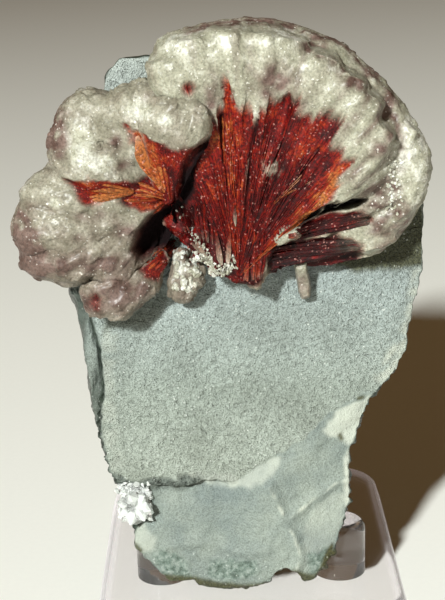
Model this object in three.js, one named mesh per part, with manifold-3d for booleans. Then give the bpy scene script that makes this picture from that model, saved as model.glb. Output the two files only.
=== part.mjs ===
// Heulandite on chalcedony, standing on a clear acrylic three-peg stand.
//
// Millimetres, +Z up, -Y towards the viewer. The origin lies on the underside of the stand's base
// plate, midway between its sides. The rock leans back a little, so it and its crystals are modelled in
// a group of their own, where X runs across the rock, Z up its front face and -Y straight out of it.

import * as THREE from 'three';
import { mergeVertices } from 'three/addons/utils/BufferGeometryUtils.js';
import Module from 'manifold-3d';

const wasm = await Module();
wasm.setup();

// Driving dimensions of the stand
const PLATE_WIDTH = 56;
const PLATE_DEPTH = 68;
const PLATE_BACK_Y = 30.5;
const PLATE_THICKNESS = 4.5;
const PLATE_CORNER_RADIUS = 9;
const PLATE_EDGE_SLOPE = 1.4;
const PLATE_TOP_ROUNDING = 0.5;
const PEG_DIAMETER = 9.5;
const PEG_HEIGHT = 10;
const PEG_TOP_ROUNDING = 1.8;
const PEG_SIDES = 18;
const PEG_ROW_Y = -19.5;
const FRONT_PEG_SPACING = 32;
const REAR_PEG_Y = 6.5;

// Driving dimensions of the specimen
const LEAN = THREE.MathUtils.degToRad(5);
const FACE_FOOT_Y = -28.5;
const FACE_FOOT_Z = PLATE_THICKNESS + 0.8;
const ROCK_HEIGHT = 95;
const ROCK_DEPTH_AT_FOOT = 35;
const ROCK_DEPTH_AT_TOP = 12;
const TOUCHING_GAP = 0.3;
const FOOT_CLEARANCE = 0.6;

// Seeded random numbers between -1 and 1, the same in every run.
function seeded(seed) {
  let state = seed * 7919 + 13;
  return () => {
    state = (state * 1664525 + 1013904223) % 4294967296;
    return (state / 4294967296) * 2 - 1;
  };
}

// Smooth lumps: a sum of three slanted waves, between -1 and 1.
function lumps(a, b, wavelength, phase) {
  const k = (2 * Math.PI) / wavelength;
  const first = Math.sin(k * (a + 0.35 * b) + phase);
  const second = Math.sin(k * (0.8 * b - 0.45 * a) + 2.1 * phase);
  const third = Math.sin(k * 1.7 * (0.6 * a + 0.7 * b) + 0.7 * phase);
  return (first + second + 0.6 * third) / 2.6;
}

// A point on the rock's own axes: across the face, up the face, and out of the face.
function onFace(across, up, out) {
  return new THREE.Vector3(across, -out, up);
}

// Reads a curve given as [x, y] pairs in rising x.
function readCurve(curve, x) {
  if (x <= curve[0][0]) return curve[0][1];
  for (let i = 1; i < curve.length; i++) {
    const [x0, y0] = curve[i - 1];
    const [x1, y1] = curve[i];
    if (x <= x1) return THREE.MathUtils.mapLinear(x, x0, x1, y0, y1);
  }
  return curve[curve.length - 1][1];
}

// A closed surface through rings that all have the same number of points.
function loft(rings) {
  const count = rings[0].length;
  const positions = rings.flat().flatMap((p) => [p.x, p.y, p.z]);
  const indices = [];
  for (let r = 0; r < rings.length - 1; r++) {
    for (let i = 0; i < count; i++) {
      const next = (i + 1) % count;
      const [a, b] = [r * count + i, r * count + next];
      const [c, d] = [a + count, b + count];
      indices.push(a, b, d, a, d, c);
    }
  }
  const capEnd = (ring, offset, turn) => {
    const centre = positions.length / 3;
    const middle = new THREE.Vector3();
    ring.forEach((p) => middle.addScaledVector(p, 1 / count));
    positions.push(middle.x, middle.y, middle.z);
    for (let i = 0; i < count; i++) {
      const [a, b] = [offset + i, offset + ((i + 1) % count)];
      if (turn) indices.push(centre, b, a);
      else indices.push(centre, a, b);
    }
  };
  capEnd(rings[0], 0, true);
  capEnd(rings[rings.length - 1], (rings.length - 1) * count, false);
  const geometry = new THREE.BufferGeometry();
  geometry.setAttribute('position', new THREE.Float32BufferAttribute(positions, 3));
  geometry.setIndex(indices);
  return geometry;
}

// A block under a rough surface: z = heightAt(x, y) over a rectangle, down to a flat floor.
function roughBlock([x0, x1], [y0, y1], step, floor, heightAt) {
  const columns = Math.round((x1 - x0) / step);
  const rows = Math.round((y1 - y0) / step);
  const positions = [];
  const indices = [];
  const top = (i, j) => j * (columns + 1) + i;
  for (let j = 0; j <= rows; j++) {
    for (let i = 0; i <= columns; i++) {
      const [x, y] = [x0 + (i * (x1 - x0)) / columns, y0 + (j * (y1 - y0)) / rows];
      positions.push(x, y, heightAt(x, y));
    }
  }
  for (let j = 0; j < rows; j++) {
    for (let i = 0; i < columns; i++) {
      const [a, b, c, d] = [top(i, j), top(i + 1, j), top(i + 1, j + 1), top(i, j + 1)];
      if ((i + j) % 2) indices.push(a, b, c, a, c, d);
      else indices.push(a, b, d, b, c, d);
    }
  }
  const border = [];
  for (let i = 0; i < columns; i++) border.push(top(i, 0));
  for (let j = 0; j < rows; j++) border.push(top(columns, j));
  for (let i = columns; i > 0; i--) border.push(top(i, rows));
  for (let j = rows; j > 0; j--) border.push(top(0, j));
  const below = positions.length / 3;
  border.forEach((v) => positions.push(positions[3 * v], positions[3 * v + 1], floor));
  const centre = positions.length / 3;
  positions.push((x0 + x1) / 2, (y0 + y1) / 2, floor);
  border.forEach((v, i) => {
    const n = (i + 1) % border.length;
    indices.push(v, below + i, below + n, v, below + n, border[n], below + i, centre, below + n);
  });
  const geometry = new THREE.BufferGeometry();
  geometry.setAttribute('position', new THREE.Float32BufferAttribute(positions, 3));
  geometry.setIndex(indices);
  return geometry;
}

// A three.js geometry as a solid that can be joined and cut.
function toSolid(geometry) {
  const bare = geometry.clone();
  bare.deleteAttribute('normal');
  bare.deleteAttribute('uv');
  const merged = mergeVertices(bare, 1e-4);
  const vertProperties = new Float32Array(merged.attributes.position.array);
  const triVerts = new Uint32Array(merged.index.array);
  const solid = new wasm.Manifold(new wasm.Mesh({ numProp: 3, vertProperties, triVerts }));
  if (solid.volume() >= 0) return solid;
  for (let i = 0; i < triVerts.length; i += 3) {
    [triVerts[i + 1], triVerts[i + 2]] = [triVerts[i + 2], triVerts[i + 1]];
  }
  return new wasm.Manifold(new wasm.Mesh({ numProp: 3, vertProperties, triVerts }));
}

function toGeometry(solid) {
  const { vertProperties, triVerts, numProp } = solid.getMesh();
  const positions = [];
  for (let i = 0; i < vertProperties.length; i += numProp) {
    positions.push(vertProperties[i], vertProperties[i + 1], vertProperties[i + 2]);
  }
  const indexed = new THREE.BufferGeometry();
  indexed.setAttribute('position', new THREE.Float32BufferAttribute(positions, 3));
  indexed.setIndex(Array.from(triVerts));
  const geometry = indexed.toNonIndexed();
  geometry.computeVertexNormals();
  return geometry;
}

function join(solids) {
  return solids.reduce((whole, solid) => whole.add(solid));
}

// The largest body of a solid: a cut between rough surfaces can leave crumbs beside it.
function largestBody(solid) {
  return solid.decompose().reduce((a, b) => (a.volume() > b.volume() ? a : b));
}

// Cuts a neighbour out of a solid and leaves the touching gap all round it.
function seatAgainst(solid, neighbour, gap = TOUCHING_GAP) {
  const shifts = [[0, -1, 0], [0, 1, 0], [1, 0, 0], [-1, 0, 0], [0, 0, 1], [0, 0, -1]];
  const cut = shifts.reduce(
    (left, shift) => left.subtract(neighbour.translate(shift.map((s) => s * gap))),
    solid,
  );
  return largestBody(cut);
}

// Materials
const clearAcrylic = new THREE.MeshStandardMaterial({
  color: 0xe6e0ea, roughness: 0.05, metalness: 0, transparent: true, opacity: 0.35,
});
const chalcedony = new THREE.MeshStandardMaterial({ color: 0xa9b5ad, roughness: 0.6, metalness: 0 });
const heulanditeRed = new THREE.MeshStandardMaterial({ color: 0x8c2414, roughness: 0.45, metalness: 0 });
const heulanditeWhite = new THREE.MeshStandardMaterial({ color: 0xc9c4b6, roughness: 0.5, metalness: 0 });
const clearQuartz = new THREE.MeshStandardMaterial({ color: 0xe4e8e6, roughness: 0.15, metalness: 0 });

function piece(name, geometry, material) {
  const mesh = new THREE.Mesh(geometry, material);
  mesh.name = name;
  return mesh;
}

// The stand: a moulded plate with rounded corners and sloping edges, and three domed pegs.

function roundedRectangle(width, depth, radius, z, arcSteps = 6) {
  const points = [];
  const corners = [[1, 1, 0], [-1, 1, 90], [-1, -1, 180], [1, -1, 270]];
  for (const [sx, sy, start] of corners) {
    for (let i = 0; i <= arcSteps; i++) {
      const angle = THREE.MathUtils.degToRad(start + (90 * i) / arcSteps);
      points.push(new THREE.Vector3(
        sx * (width / 2 - radius) + radius * Math.cos(angle),
        sy * (depth / 2 - radius) + radius * Math.sin(angle),
        z,
      ));
    }
  }
  return points;
}

function basePlate() {
  const ring = (inset, z) => roundedRectangle(
    PLATE_WIDTH - 2 * inset, PLATE_DEPTH - 2 * inset, PLATE_CORNER_RADIUS - inset, z,
  );
  const geometry = loft([
    ring(0, 0),
    ring(PLATE_EDGE_SLOPE, PLATE_THICKNESS - PLATE_TOP_ROUNDING),
    ring(PLATE_EDGE_SLOPE + PLATE_TOP_ROUNDING, PLATE_THICKNESS),
  ]);
  return toGeometry(toSolid(geometry)).translate(0, PLATE_BACK_Y - PLATE_DEPTH / 2, 0);
}

function pegGeometry() {
  const radius = PEG_DIAMETER / 2;
  const profile = [new THREE.Vector2(0, 0), new THREE.Vector2(radius, 0)];
  const roundingSteps = 3;
  for (let i = 0; i <= roundingSteps; i++) {
    const angle = (Math.PI / 2) * (i / roundingSteps);
    profile.push(new THREE.Vector2(
      radius - PEG_TOP_ROUNDING * (1 - Math.cos(angle)),
      PEG_HEIGHT - PEG_TOP_ROUNDING * (1 - Math.sin(angle)),
    ));
  }
  profile.push(new THREE.Vector2(0, PEG_HEIGHT));
  const lathe = new THREE.LatheGeometry(profile, PEG_SIDES).rotateX(Math.PI / 2);
  return toGeometry(toSolid(lathe));
}

function peg(name, x, y) {
  const mesh = piece(name, pegGeometry(), clearAcrylic);
  mesh.position.set(x, y, PLATE_THICKNESS + TOUCHING_GAP);
  return mesh;
}

// The rock: a thick slab of chalcedony. Its outline on the front face, as [across, up].
const ROCK_OUTLINE = [
  [-22.3, 91.4], [-23.2, 86], [-26.2, 75], [-28.2, 63], [-28, 55], [-26.6, 51.5], [-25, 44.5],
  [-24.7, 35.8], [-24, 27], [-22.8, 21.4], [-22.9, 16.2], [-20.2, 12.4], [-20.9, 8.4], [-18, 6],
  [-15.4, 3], [-9.3, 2.1], [-4, 0.2], [1.7, 1.5], [5.8, 3.9], [10.5, 1.9], [12.8, 4.1],
  [14.6, 7.4], [16.6, 12.9], [17.4, 16.6], [17.6, 25.7], [19.6, 30.1], [20.8, 34.6],
  [25.6, 39.6], [26.9, 42.6], [27.6, 48.5], [29, 55.4], [29.6, 65.7], [28.6, 76], [25, 84.5],
  [16, 90.6], [6, 92.6], [-4, 93.2], [-14, 94.2], [-19.6, 94],
];
const ROCK_MIDDLE = [0, 50];

// How far the left wall flares out behind the front face, by height.
const LEFT_FLARE = [[14, 0], [22, 2], [30, 2.8], [40, 4.2], [50, 4.4], [60, 2.2], [72, 0.8], [90, 0]];
const FLARE_DEPTH = 5;

// The upper crust of fine druse ends along this broken edge, as [across, up].
const CRUST_EDGE = [
  [-24, 21.5], [-17.5, 20.1], [-8.7, 20.6], [-3.1, 21.5], [2.1, 24.6], [8.8, 27.7], [14, 31.2],
  [20, 35],
];
const LEDGE_RECESS = 1.5;
const LEDGE_WIDTH = 3.2;
const LEDGE_TREAD = 5;
const LEDGE_CREST_X = 3;

// How far the front face stands out from its own plane.
function frontRelief(across, up) {
  const edge = readCurve(CRUST_EDGE, across);
  const below = edge - up;
  const swell = 0.45 * lumps(across, up, 34, 1.3) + 0.2 * lumps(across, up, 13, 4);
  const rightFall = -0.012 * Math.max(0, across - 18) ** 2;
  if (below < 0) return swell + rightFall;
  const tread = THREE.MathUtils.smoothstep(below, 0, LEDGE_TREAD);
  const leftRecess = -LEDGE_RECESS * THREE.MathUtils.smoothstep(-across, -2, 10)
    * THREE.MathUtils.smoothstep(below, 0, LEDGE_WIDTH);
  const shelf = 1.3 * THREE.MathUtils.smoothstep(across, -6, 4);
  const facetFall = -0.15 * Math.max(0, across - LEDGE_CREST_X - 0.25 * (20 - up))
    * THREE.MathUtils.smoothstep(below, 0, 7);
  const footFall = -0.06 * Math.max(0, 8 - up) ** 2;
  return leftRecess + shelf * tread + facetFall + footFall + swell * (1 - 0.5 * tread);
}

function backDepth(across, up) {
  const wedge = THREE.MathUtils.lerp(ROCK_DEPTH_AT_FOOT, ROCK_DEPTH_AT_TOP, up / ROCK_HEIGHT);
  return wedge - 0.006 * across ** 2 + 2.6 * lumps(across, up, 41, 2.2) + 1.1 * lumps(across, up, 17, 5);
}

// The rock's sides: the left wall runs straight back, and the right and top taper to thin edges.
function rockSides() {
  const depths = [-6, 1.2, 4.5, 11, 19, 29, 46];
  const jitter = seeded(4);
  return loft(depths.map((depth, ring) => ROCK_OUTLINE.map(([x, z]) => {
    const back = Math.max(0, depth - 1.2);
    const taperX = x > ROCK_MIDDLE[0] ? 1 - 0.011 * back : 1 - 0.0025 * back;
    const taperZ = z > ROCK_MIDDLE[1] ? 1 - 0.008 * back : 1;
    const rough = ring < 2 ? 0 : 0.9;
    const flare = x < 0 ? readCurve(LEFT_FLARE, z) * Math.min(1, back / FLARE_DEPTH) : 0;
    return new THREE.Vector3(
      ROCK_MIDDLE[0] + (x - ROCK_MIDDLE[0]) * taperX - flare + rough * jitter(),
      depth,
      ROCK_MIDDLE[1] + (z - ROCK_MIDDLE[1]) * taperZ + rough * jitter(),
    );
  })));
}

// What is missing under the rock, in the stand's frame: behind its thin front lip the rock
// rests on the three pegs, and its rough underside stays clear of them everywhere else.
function undersideGap() {
  const lipBack = PEG_ROW_Y - PEG_DIAMETER / 2 - 0.5;
  const pegInner = FRONT_PEG_SPACING / 2 - PEG_DIAMETER / 2 - 0.9;
  const keelBack = PEG_ROW_Y + 6;
  const plan = new THREE.Shape([
    [-60, lipBack], [-pegInner, lipBack], [-pegInner + 1.2, keelBack - 2], [0, keelBack],
    [pegInner - 1.5, keelBack - 3], [pegInner, lipBack], [60, lipBack], [60, 60], [-60, 60],
  ].map(([x, y]) => new THREE.Vector2(x, y)));
  const walls = new THREE.ExtrudeGeometry(plan, { depth: 60, bevelEnabled: false }).translate(0, 0, -20);
  const seat = PLATE_THICKNESS + TOUCHING_GAP + PEG_HEIGHT + TOUCHING_GAP;
  const pegs = [
    [-FRONT_PEG_SPACING / 2, PEG_ROW_Y], [FRONT_PEG_SPACING / 2, PEG_ROW_Y], [0, REAR_PEG_Y],
  ];
  const ceiling = roughBlock([-62, 62], [-62, 62], 4, -25, (x, y) => {
    const nearest = Math.min(...pegs.map(([px, py]) => Math.hypot(x - px, y - py)));
    const clear = THREE.MathUtils.smoothstep(nearest, 6.5, 13);
    return seat + clear * (1.6 + 1.4 * lumps(x, y, 19, 3));
  });
  const plateClearance = new THREE.BoxGeometry(120, 120, 40)
    .translate(0, 0, PLATE_THICKNESS + FOOT_CLEARANCE - 20);
  return toSolid(walls).intersect(toSolid(ceiling)).add(toSolid(plateClearance));
}

const FRONT_GRID = 3.5;
const BACK_GRID = 8;

// A block whose rough face looks along -Y (front) or +Y (back), on the rock's axes.
function reliefBlock(step, towardsBack, depthAt) {
  const side = towardsBack ? 1 : -1;
  const block = roughBlock([-42, 42], [-9, 105], step, -70, (x, z) => side * depthAt(x, z));
  const axes = new THREE.Matrix4().makeBasis(
    new THREE.Vector3(1, 0, 0), new THREE.Vector3(0, 0, 1), new THREE.Vector3(0, side, 0),
  );
  return toSolid(block.applyMatrix4(axes));
}

function rockSolid(worldToRock) {
  const front = reliefBlock(FRONT_GRID, false, (x, z) => -frontRelief(x, z));
  const back = reliefBlock(BACK_GRID, true, backDepth);
  const underside = undersideGap().transform(worldToRock.elements);
  const corner = toSolid(quartzPocket());
  return largestBody(toSolid(rockSides()).intersect(front).intersect(back)
    .subtract(underside).subtract(corner));
}

// Clear quartz in a pocket at the rock's lower left edge.
const QUARTZ_CENTRE = onFace(-20.3, 16.4, -1.6);

function quartzPocket() {
  return new THREE.IcosahedronGeometry(4.3, 1).scale(0.95, 0.75, 1.1)
    .translate(QUARTZ_CENTRE.x - 0.8, QUARTZ_CENTRE.y, QUARTZ_CENTRE.z);
}

function quartzPoint(base, direction, radius, length) {
  const turn = new THREE.Quaternion().setFromUnitVectors(
    new THREE.Vector3(0, 1, 0), direction.clone().normalize(),
  );
  const shaft = new THREE.LatheGeometry([
    new THREE.Vector2(0, -length * 0.4), new THREE.Vector2(radius, -length * 0.4),
    new THREE.Vector2(radius, length * 0.45), new THREE.Vector2(0, length),
  ], 6);
  return toSolid(shaft.applyQuaternion(turn).translate(base.x, base.y, base.z));
}

function quartzCrystals() {
  const jitter = seeded(11);
  const core = toSolid(new THREE.IcosahedronGeometry(3.2, 1).scale(0.85, 0.6, 1.25)
    .translate(QUARTZ_CENTRE.x, QUARTZ_CENTRE.y, QUARTZ_CENTRE.z));
  const points = [];
  const count = 7;
  for (let i = 0; i < count; i++) {
    const angle = (i / count) * 2 * Math.PI;
    const direction = new THREE.Vector3(Math.cos(angle), -1.1 + 0.3 * jitter(), Math.sin(angle));
    const base = QUARTZ_CENTRE.clone().addScaledVector(direction, 1.3);
    points.push(quartzPoint(base, direction, 1.2 + 0.25 * jitter(), 2.4 + 0.6 * jitter()));
  }
  return join([core, ...points]);
}

// One tabular crystal: narrow at the root, six-sided in section, wide and round at its tip.
function tabularBlade({ root, tip, rootWidth, width, rootThickness, thickness, seed }) {
  const jitter = seeded(seed);
  const along = tip.clone().sub(root);
  const reach = along.length();
  along.normalize();
  const out = new THREE.Vector3(0, -1, 0);
  const side = new THREE.Vector3().crossVectors(along, out).normalize();
  const face = new THREE.Vector3().crossVectors(side, along).normalize();
  const slope = 0.14 * jitter();
  const section = [
    [-0.5, 0], [-0.35, 0.5 + slope], [0.35, 0.5 - slope], [0.5, 0], [0.33, -0.5], [-0.33, -0.5],
  ];
  const stations = [0, 0.5, 0.9, 1];
  const rounding = [1, 1, 1, 0.68];
  return toSolid(loft(stations.map((s, i) => {
    const grown = Math.min(1, s / 0.8);
    const w = THREE.MathUtils.lerp(rootWidth, width, grown) * rounding[i];
    const t = THREE.MathUtils.lerp(rootThickness, thickness, grown) * Math.sqrt(rounding[i]);
    const sway = 0.03 * width * jitter();
    return section.map(([a, b]) => root.clone()
      .addScaledVector(along, s * reach)
      .addScaledVector(side, a * w + sway)
      .addScaledVector(face, b * t));
  })));
}

// A rounded sheaf end: a lobe that swells from its root and closes in a blunt, plated tip.
function sheafLobe({ root, tip, width, depth, seed, swell = 0.62 }) {
  const jitter = seeded(seed);
  const along = tip.clone().sub(root);
  const reach = along.length();
  along.normalize();
  const out = new THREE.Vector3(0, -1, 0);
  const side = new THREE.Vector3().crossVectors(along, out).normalize();
  const face = new THREE.Vector3().crossVectors(side, along).normalize();
  const count = 8;
  const corners = Array.from({ length: count }, () => 1 + 0.09 * jitter());
  const stations = [0, 0.35, 0.64, 0.84, 0.96, 1];
  return toSolid(loft(stations.map((s) => {
    const opening = THREE.MathUtils.lerp(0.42, 1, Math.min(1, s / swell));
    const closing = s < swell ? 1 : Math.sqrt(1 - 0.93 * ((s - swell) / (1 - swell)) ** 2.4);
    return corners.map((corner, i) => {
      const angle = (i / count) * 2 * Math.PI;
      const grow = opening * closing * (corner + 0.035 * jitter());
      return root.clone()
        .addScaledVector(along, s * reach)
        .addScaledVector(side, 0.5 * width * grow * Math.cos(angle))
        .addScaledVector(face, 0.5 * depth * grow * Math.sin(angle));
    });
  })));
}

// The main fan: four tiers of blades that open from one root. Angles are in degrees round that
// root, from straight across to the right. Reach is how far a tier's white ends stand from it.
const FAN_ROOT = [-1.3, 58.5];
const ROOT_OVERLAP = 1.5;
const ROOT_WIDTH = 3.4;
const ROOT_THICKNESS = 4;
const FRONT_REACH = [
  [34, 29], [42, 32.5], [50, 36.4], [57, 37.2], [64, 38.2], [72, 39.6], [90, 40.4], [100, 40.2],
  [106, 38.8], [109, 36.5], [114, 27], [120, 18], [134, 13], [150, 11],
];
const SECOND_REACH = [
  [14, 26.4], [19, 29.6], [24, 32.4], [30, 34.8], [35, 36], [44, 37.8], [56, 39], [66, 40.6],
  [76, 41.2], [86, 41.4], [96, 40.8], [106, 38.5],
];

function tier({ from, to, count, reachAt, rootOut, tipOut, spread, thickness, seed }) {
  const jitter = seeded(seed);
  const step = THREE.MathUtils.degToRad((to - from) / Math.max(1, count - 1));
  return Array.from({ length: count }, (_, i) => {
    const angle = THREE.MathUtils.degToRad(from) + step * (i + 0.18 * jitter());
    const reach = readCurve(reachAt, THREE.MathUtils.radToDeg(angle)) - 0.5 * Math.abs(jitter());
    const [x, z] = [Math.cos(angle), Math.sin(angle)];
    return tabularBlade({
      root: onFace(FAN_ROOT[0] - ROOT_OVERLAP * x, FAN_ROOT[1] - ROOT_OVERLAP * z, rootOut),
      tip: onFace(FAN_ROOT[0] + reach * x, FAN_ROOT[1] + reach * z, tipOut + 0.9 * jitter()),
      rootWidth: ROOT_WIDTH,
      width: reach * spread,
      rootThickness: ROOT_THICKNESS,
      thickness,
      seed: seed * 31 + i,
    });
  });
}

function fanTufts() {
  const stub = (root, tip, width, thickness, seed) => tabularBlade({
    root: onFace(...root), tip: onFace(...tip), rootWidth: width * 0.75, width,
    rootThickness: thickness * 0.8, thickness, seed,
  });
  return [
    stub([3.2, 65.5, 6], [-0.4, 56.6, 7.5], 6.4, 6.5, 71),
    stub([-3, 67, 8], [-4.4, 59.2, 9.4], 3.2, 3.4, 72),
    stub([-4.5, 64, 6], [-5.2, 57.6, 6.2], 3.6, 4.6, 73),
    stub([-7, 66, 5], [-8.2, 60, 5.2], 3.4, 4.4, 74),
  ];
}

function mainFan() {
  const blades = [
    ...tier({
      from: 46, to: 107, count: 9, reachAt: FRONT_REACH, rootOut: 6, tipOut: 14.6, spread: 0.2,
      thickness: 7, seed: 3,
    }),
    ...tier({
      from: 118, to: 142, count: 2, reachAt: FRONT_REACH, rootOut: 5.5, tipOut: 9.6, spread: 0.3,
      thickness: 5, seed: 17,
    }),
    ...tier({
      from: 31, to: 103, count: 8, reachAt: SECOND_REACH, rootOut: 4.5, tipOut: 8.4, spread: 0.25,
      thickness: 7, seed: 5,
    }),
    ...tier({
      from: 14, to: 20, count: 2, reachAt: SECOND_REACH, rootOut: 4.6, tipOut: 6.6, spread: 0.2,
      thickness: 4.6, seed: 7,
    }),
    ...tier({
      from: 3, to: 10, count: 2, reachAt: [[0, 19], [5, 23.5], [12, 27]], rootOut: 2.6, tipOut: 3.2,
      spread: 0.16, thickness: 3.2, seed: 9,
    }),
    ...tier({
      from: 26, to: 108, count: 4, reachAt: [[0, 33], [180, 37]], rootOut: 1.6, tipOut: 2.6,
      spread: 0.5, thickness: 6, seed: 13,
    }),
    ...fanTufts(),
  ];
  return join(blades);
}

// The left rosette: blunt sheaf ends that open from a second root beside the fan.
const ROSETTE_ROOT = onFace(-11.6, 69, 5);

function leftRosette() {
  const lobe = (tip, width, depth, seed, root = ROSETTE_ROOT) =>
    sheafLobe({ root, tip: onFace(...tip), width, depth, seed });
  return join([
    lobe([-35.6, 72.6, 6.6], 13, 13, 21),
    lobe([-38.2, 66, 6], 14, 15, 22),
    lobe([-34.6, 60.4, 5.2], 12, 14, 23, onFace(-13, 67, 4)),
    lobe([-26.6, 58.4, 4.6], 11, 12, 24, onFace(-13.5, 66.5, 4)),
    lobe([-30.6, 80.8, 9.6], 11, 12, 25, onFace(-12, 71, 5)),
    lobe([-26.4, 88.2, 10], 12.5, 12, 26, onFace(-12, 72, 5)),
    lobe([-19.8, 87, 10.4], 10, 11, 27, onFace(-12, 72, 5)),
    lobe([-15.8, 90.6, 12.6], 8.5, 9, 28, onFace(-12, 72, 6)),
    lobe([-11.4, 89.2, 17.4], 9, 7.6, 29, onFace(-13, 72, 9)),
    lobe([-7, 87.2, 18], 7.2, 6.6, 30, onFace(-12.4, 71, 11)),
  ]);
}

function lowerSheaf() {
  const root = onFace(-13.2, 61.8, 4.4);
  return join([
    sheafLobe({ root, tip: onFace(-27.2, 55.6, 7.4), width: 7.2, depth: 7.4, seed: 41 }),
    sheafLobe({ root, tip: onFace(-23.6, 52, 7), width: 6.8, depth: 7, seed: 42 }),
    sheafLobe({ root, tip: onFace(-18.4, 54.4, 5.6), width: 5, depth: 5.6, seed: 43 }),
  ]);
}

function footSheaf() {
  return join([
    sheafLobe({
      root: onFace(-10.4, 62.6, 3.6), tip: onFace(-10.6, 53.2, 3.2), width: 5.6, depth: 6.4, seed: 51,
    }),
    sheafLobe({ root: onFace(-9.2, 61.8, 4), tip: onFace(-8, 55.6, 3.2), width: 3.6, depth: 5, seed: 52 }),
  ]);
}

function loneBlade() {
  return tabularBlade({
    root: onFace(8.9, 61.2, 0.6), tip: onFace(11, 53.2, 2.4), rootWidth: 1.7, width: 2.3,
    rootThickness: 2.4, thickness: 3.6, seed: 61,
  });
}

// Assembly
const root = new THREE.Group();
root.name = 'heulandite_specimen_on_stand';

const stand = new THREE.Group();
stand.add(piece('stand_base', basePlate(), clearAcrylic));
stand.add(peg('stand_peg_left', -FRONT_PEG_SPACING / 2, PEG_ROW_Y));
stand.add(peg('stand_peg_right', FRONT_PEG_SPACING / 2, PEG_ROW_Y));
stand.add(peg('stand_peg_rear', 0, REAR_PEG_Y));
root.add(stand);

const specimen = new THREE.Group();
specimen.position.set(0, FACE_FOOT_Y, FACE_FOOT_Z);
specimen.rotation.x = -LEAN;
specimen.updateMatrixWorld(true);

const rock = rockSolid(specimen.matrixWorld.clone().invert());
const fan = seatAgainst(mainFan(), rock);
const rosette = seatAgainst(seatAgainst(leftRosette(), rock), fan);
const lower = seatAgainst(seatAgainst(seatAgainst(lowerSheaf(), rock), rosette), fan);
const foot = [rock, fan, rosette, lower].reduce((solid, near) => seatAgainst(solid, near), footSheaf());
const blade = seatAgainst(seatAgainst(loneBlade(), rock), fan);
const quartz = seatAgainst(quartzCrystals(), rock);

specimen.add(piece('chalcedony_matrix', toGeometry(rock), chalcedony));
specimen.add(piece('heulandite_main_fan', toGeometry(fan), heulanditeRed));
specimen.add(piece('heulandite_left_rosette', toGeometry(rosette), heulanditeWhite));
specimen.add(piece('heulandite_lower_sheaf', toGeometry(lower), heulanditeWhite));
specimen.add(piece('heulandite_foot_sheaf', toGeometry(foot), heulanditeWhite));
specimen.add(piece('heulandite_lone_blade', toGeometry(blade), heulanditeWhite));
specimen.add(piece('quartz_crystals', toGeometry(quartz), clearQuartz));
root.add(specimen);

export default root;
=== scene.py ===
import math

import bpy
import numpy as np
from mathutils import Matrix, Vector, noise
from mathutils.bvhtree import BVHTree


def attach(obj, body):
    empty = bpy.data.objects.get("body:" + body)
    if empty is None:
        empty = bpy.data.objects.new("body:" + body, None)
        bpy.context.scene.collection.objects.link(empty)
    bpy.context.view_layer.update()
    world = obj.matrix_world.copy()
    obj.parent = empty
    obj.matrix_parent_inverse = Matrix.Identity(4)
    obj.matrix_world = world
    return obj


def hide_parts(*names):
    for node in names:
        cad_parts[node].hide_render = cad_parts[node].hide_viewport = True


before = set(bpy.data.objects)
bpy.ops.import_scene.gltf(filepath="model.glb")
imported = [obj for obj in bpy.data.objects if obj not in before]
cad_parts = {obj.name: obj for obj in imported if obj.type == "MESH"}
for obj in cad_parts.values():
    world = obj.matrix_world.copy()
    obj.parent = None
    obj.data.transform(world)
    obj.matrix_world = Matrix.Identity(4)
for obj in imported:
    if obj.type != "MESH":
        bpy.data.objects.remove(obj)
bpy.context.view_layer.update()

bpy.ops.object.select_all(action="DESELECT")


# The table and the light
# A sheet of matt off-white card lies under the stand. One lamp stands to the left, in front and above,
# and the room gives the rest of the light.

def linear(hex_colour):
    """An sRGB hex colour as linear RGBA."""
    parts = [int(hex_colour[i:i + 2], 16) / 255 for i in (1, 3, 5)]
    return (*[c / 12.92 if c <= 0.04045 else ((c + 0.055) / 1.055) ** 2.4 for c in parts], 1.0)


def add_node(tree, kind, settings, output=None):
    """One node, with its settings, the stops of its ramp, and its sockets' values or sources."""
    node = tree.nodes.new("ShaderNode" + kind)
    for key, value in settings.items():
        if key == "stops":
            for i, (place, colour) in enumerate(value):
                stop = node.color_ramp.elements[i] if i < 2 else node.color_ramp.elements.new(place)
                stop.position, stop.color = place, linear(colour)
        elif isinstance(value, bpy.types.NodeSocket):
            tree.links.new(value, node.inputs[key])
        elif isinstance(key, int) or key in node.inputs:
            node.inputs[key].default_value = value
        else:
            setattr(node, key, value)
    return node.outputs[output] if output else next(socket for socket in node.outputs if socket.enabled)


def new_material(name, **settings):
    """A Principled material with constant values on its own sockets."""
    material = bpy.data.materials.new(name)
    material.use_nodes = True
    shader = material.node_tree.nodes["Principled BSDF"]
    for key, value in settings.items():
        shader.inputs[key.replace("_", " ")].default_value = value
    return material, material.node_tree, shader


bpy.ops.mesh.primitive_plane_add(size=8, location=(0, 2.5, -0.0002))
card = bpy.context.object
card.name = "table_card"
card_paper, tree, shader = new_material("matt off-white card", Roughness=0.9)
fibres = add_node(tree, "TexNoise",
    {"Scale": 900.0, "Detail": 4.0, "Vector": add_node(tree, "TexCoord", {}, "Object")})
card_tint = add_node(tree, "Mix", {"data_type": "RGBA", 6: linear("#f1f1eb"), 7: linear("#f6f6ef"),
    0: fibres})
tree.links.new(card_tint, shader.inputs["Base Color"])
card.data.materials.append(card_paper)

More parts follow.
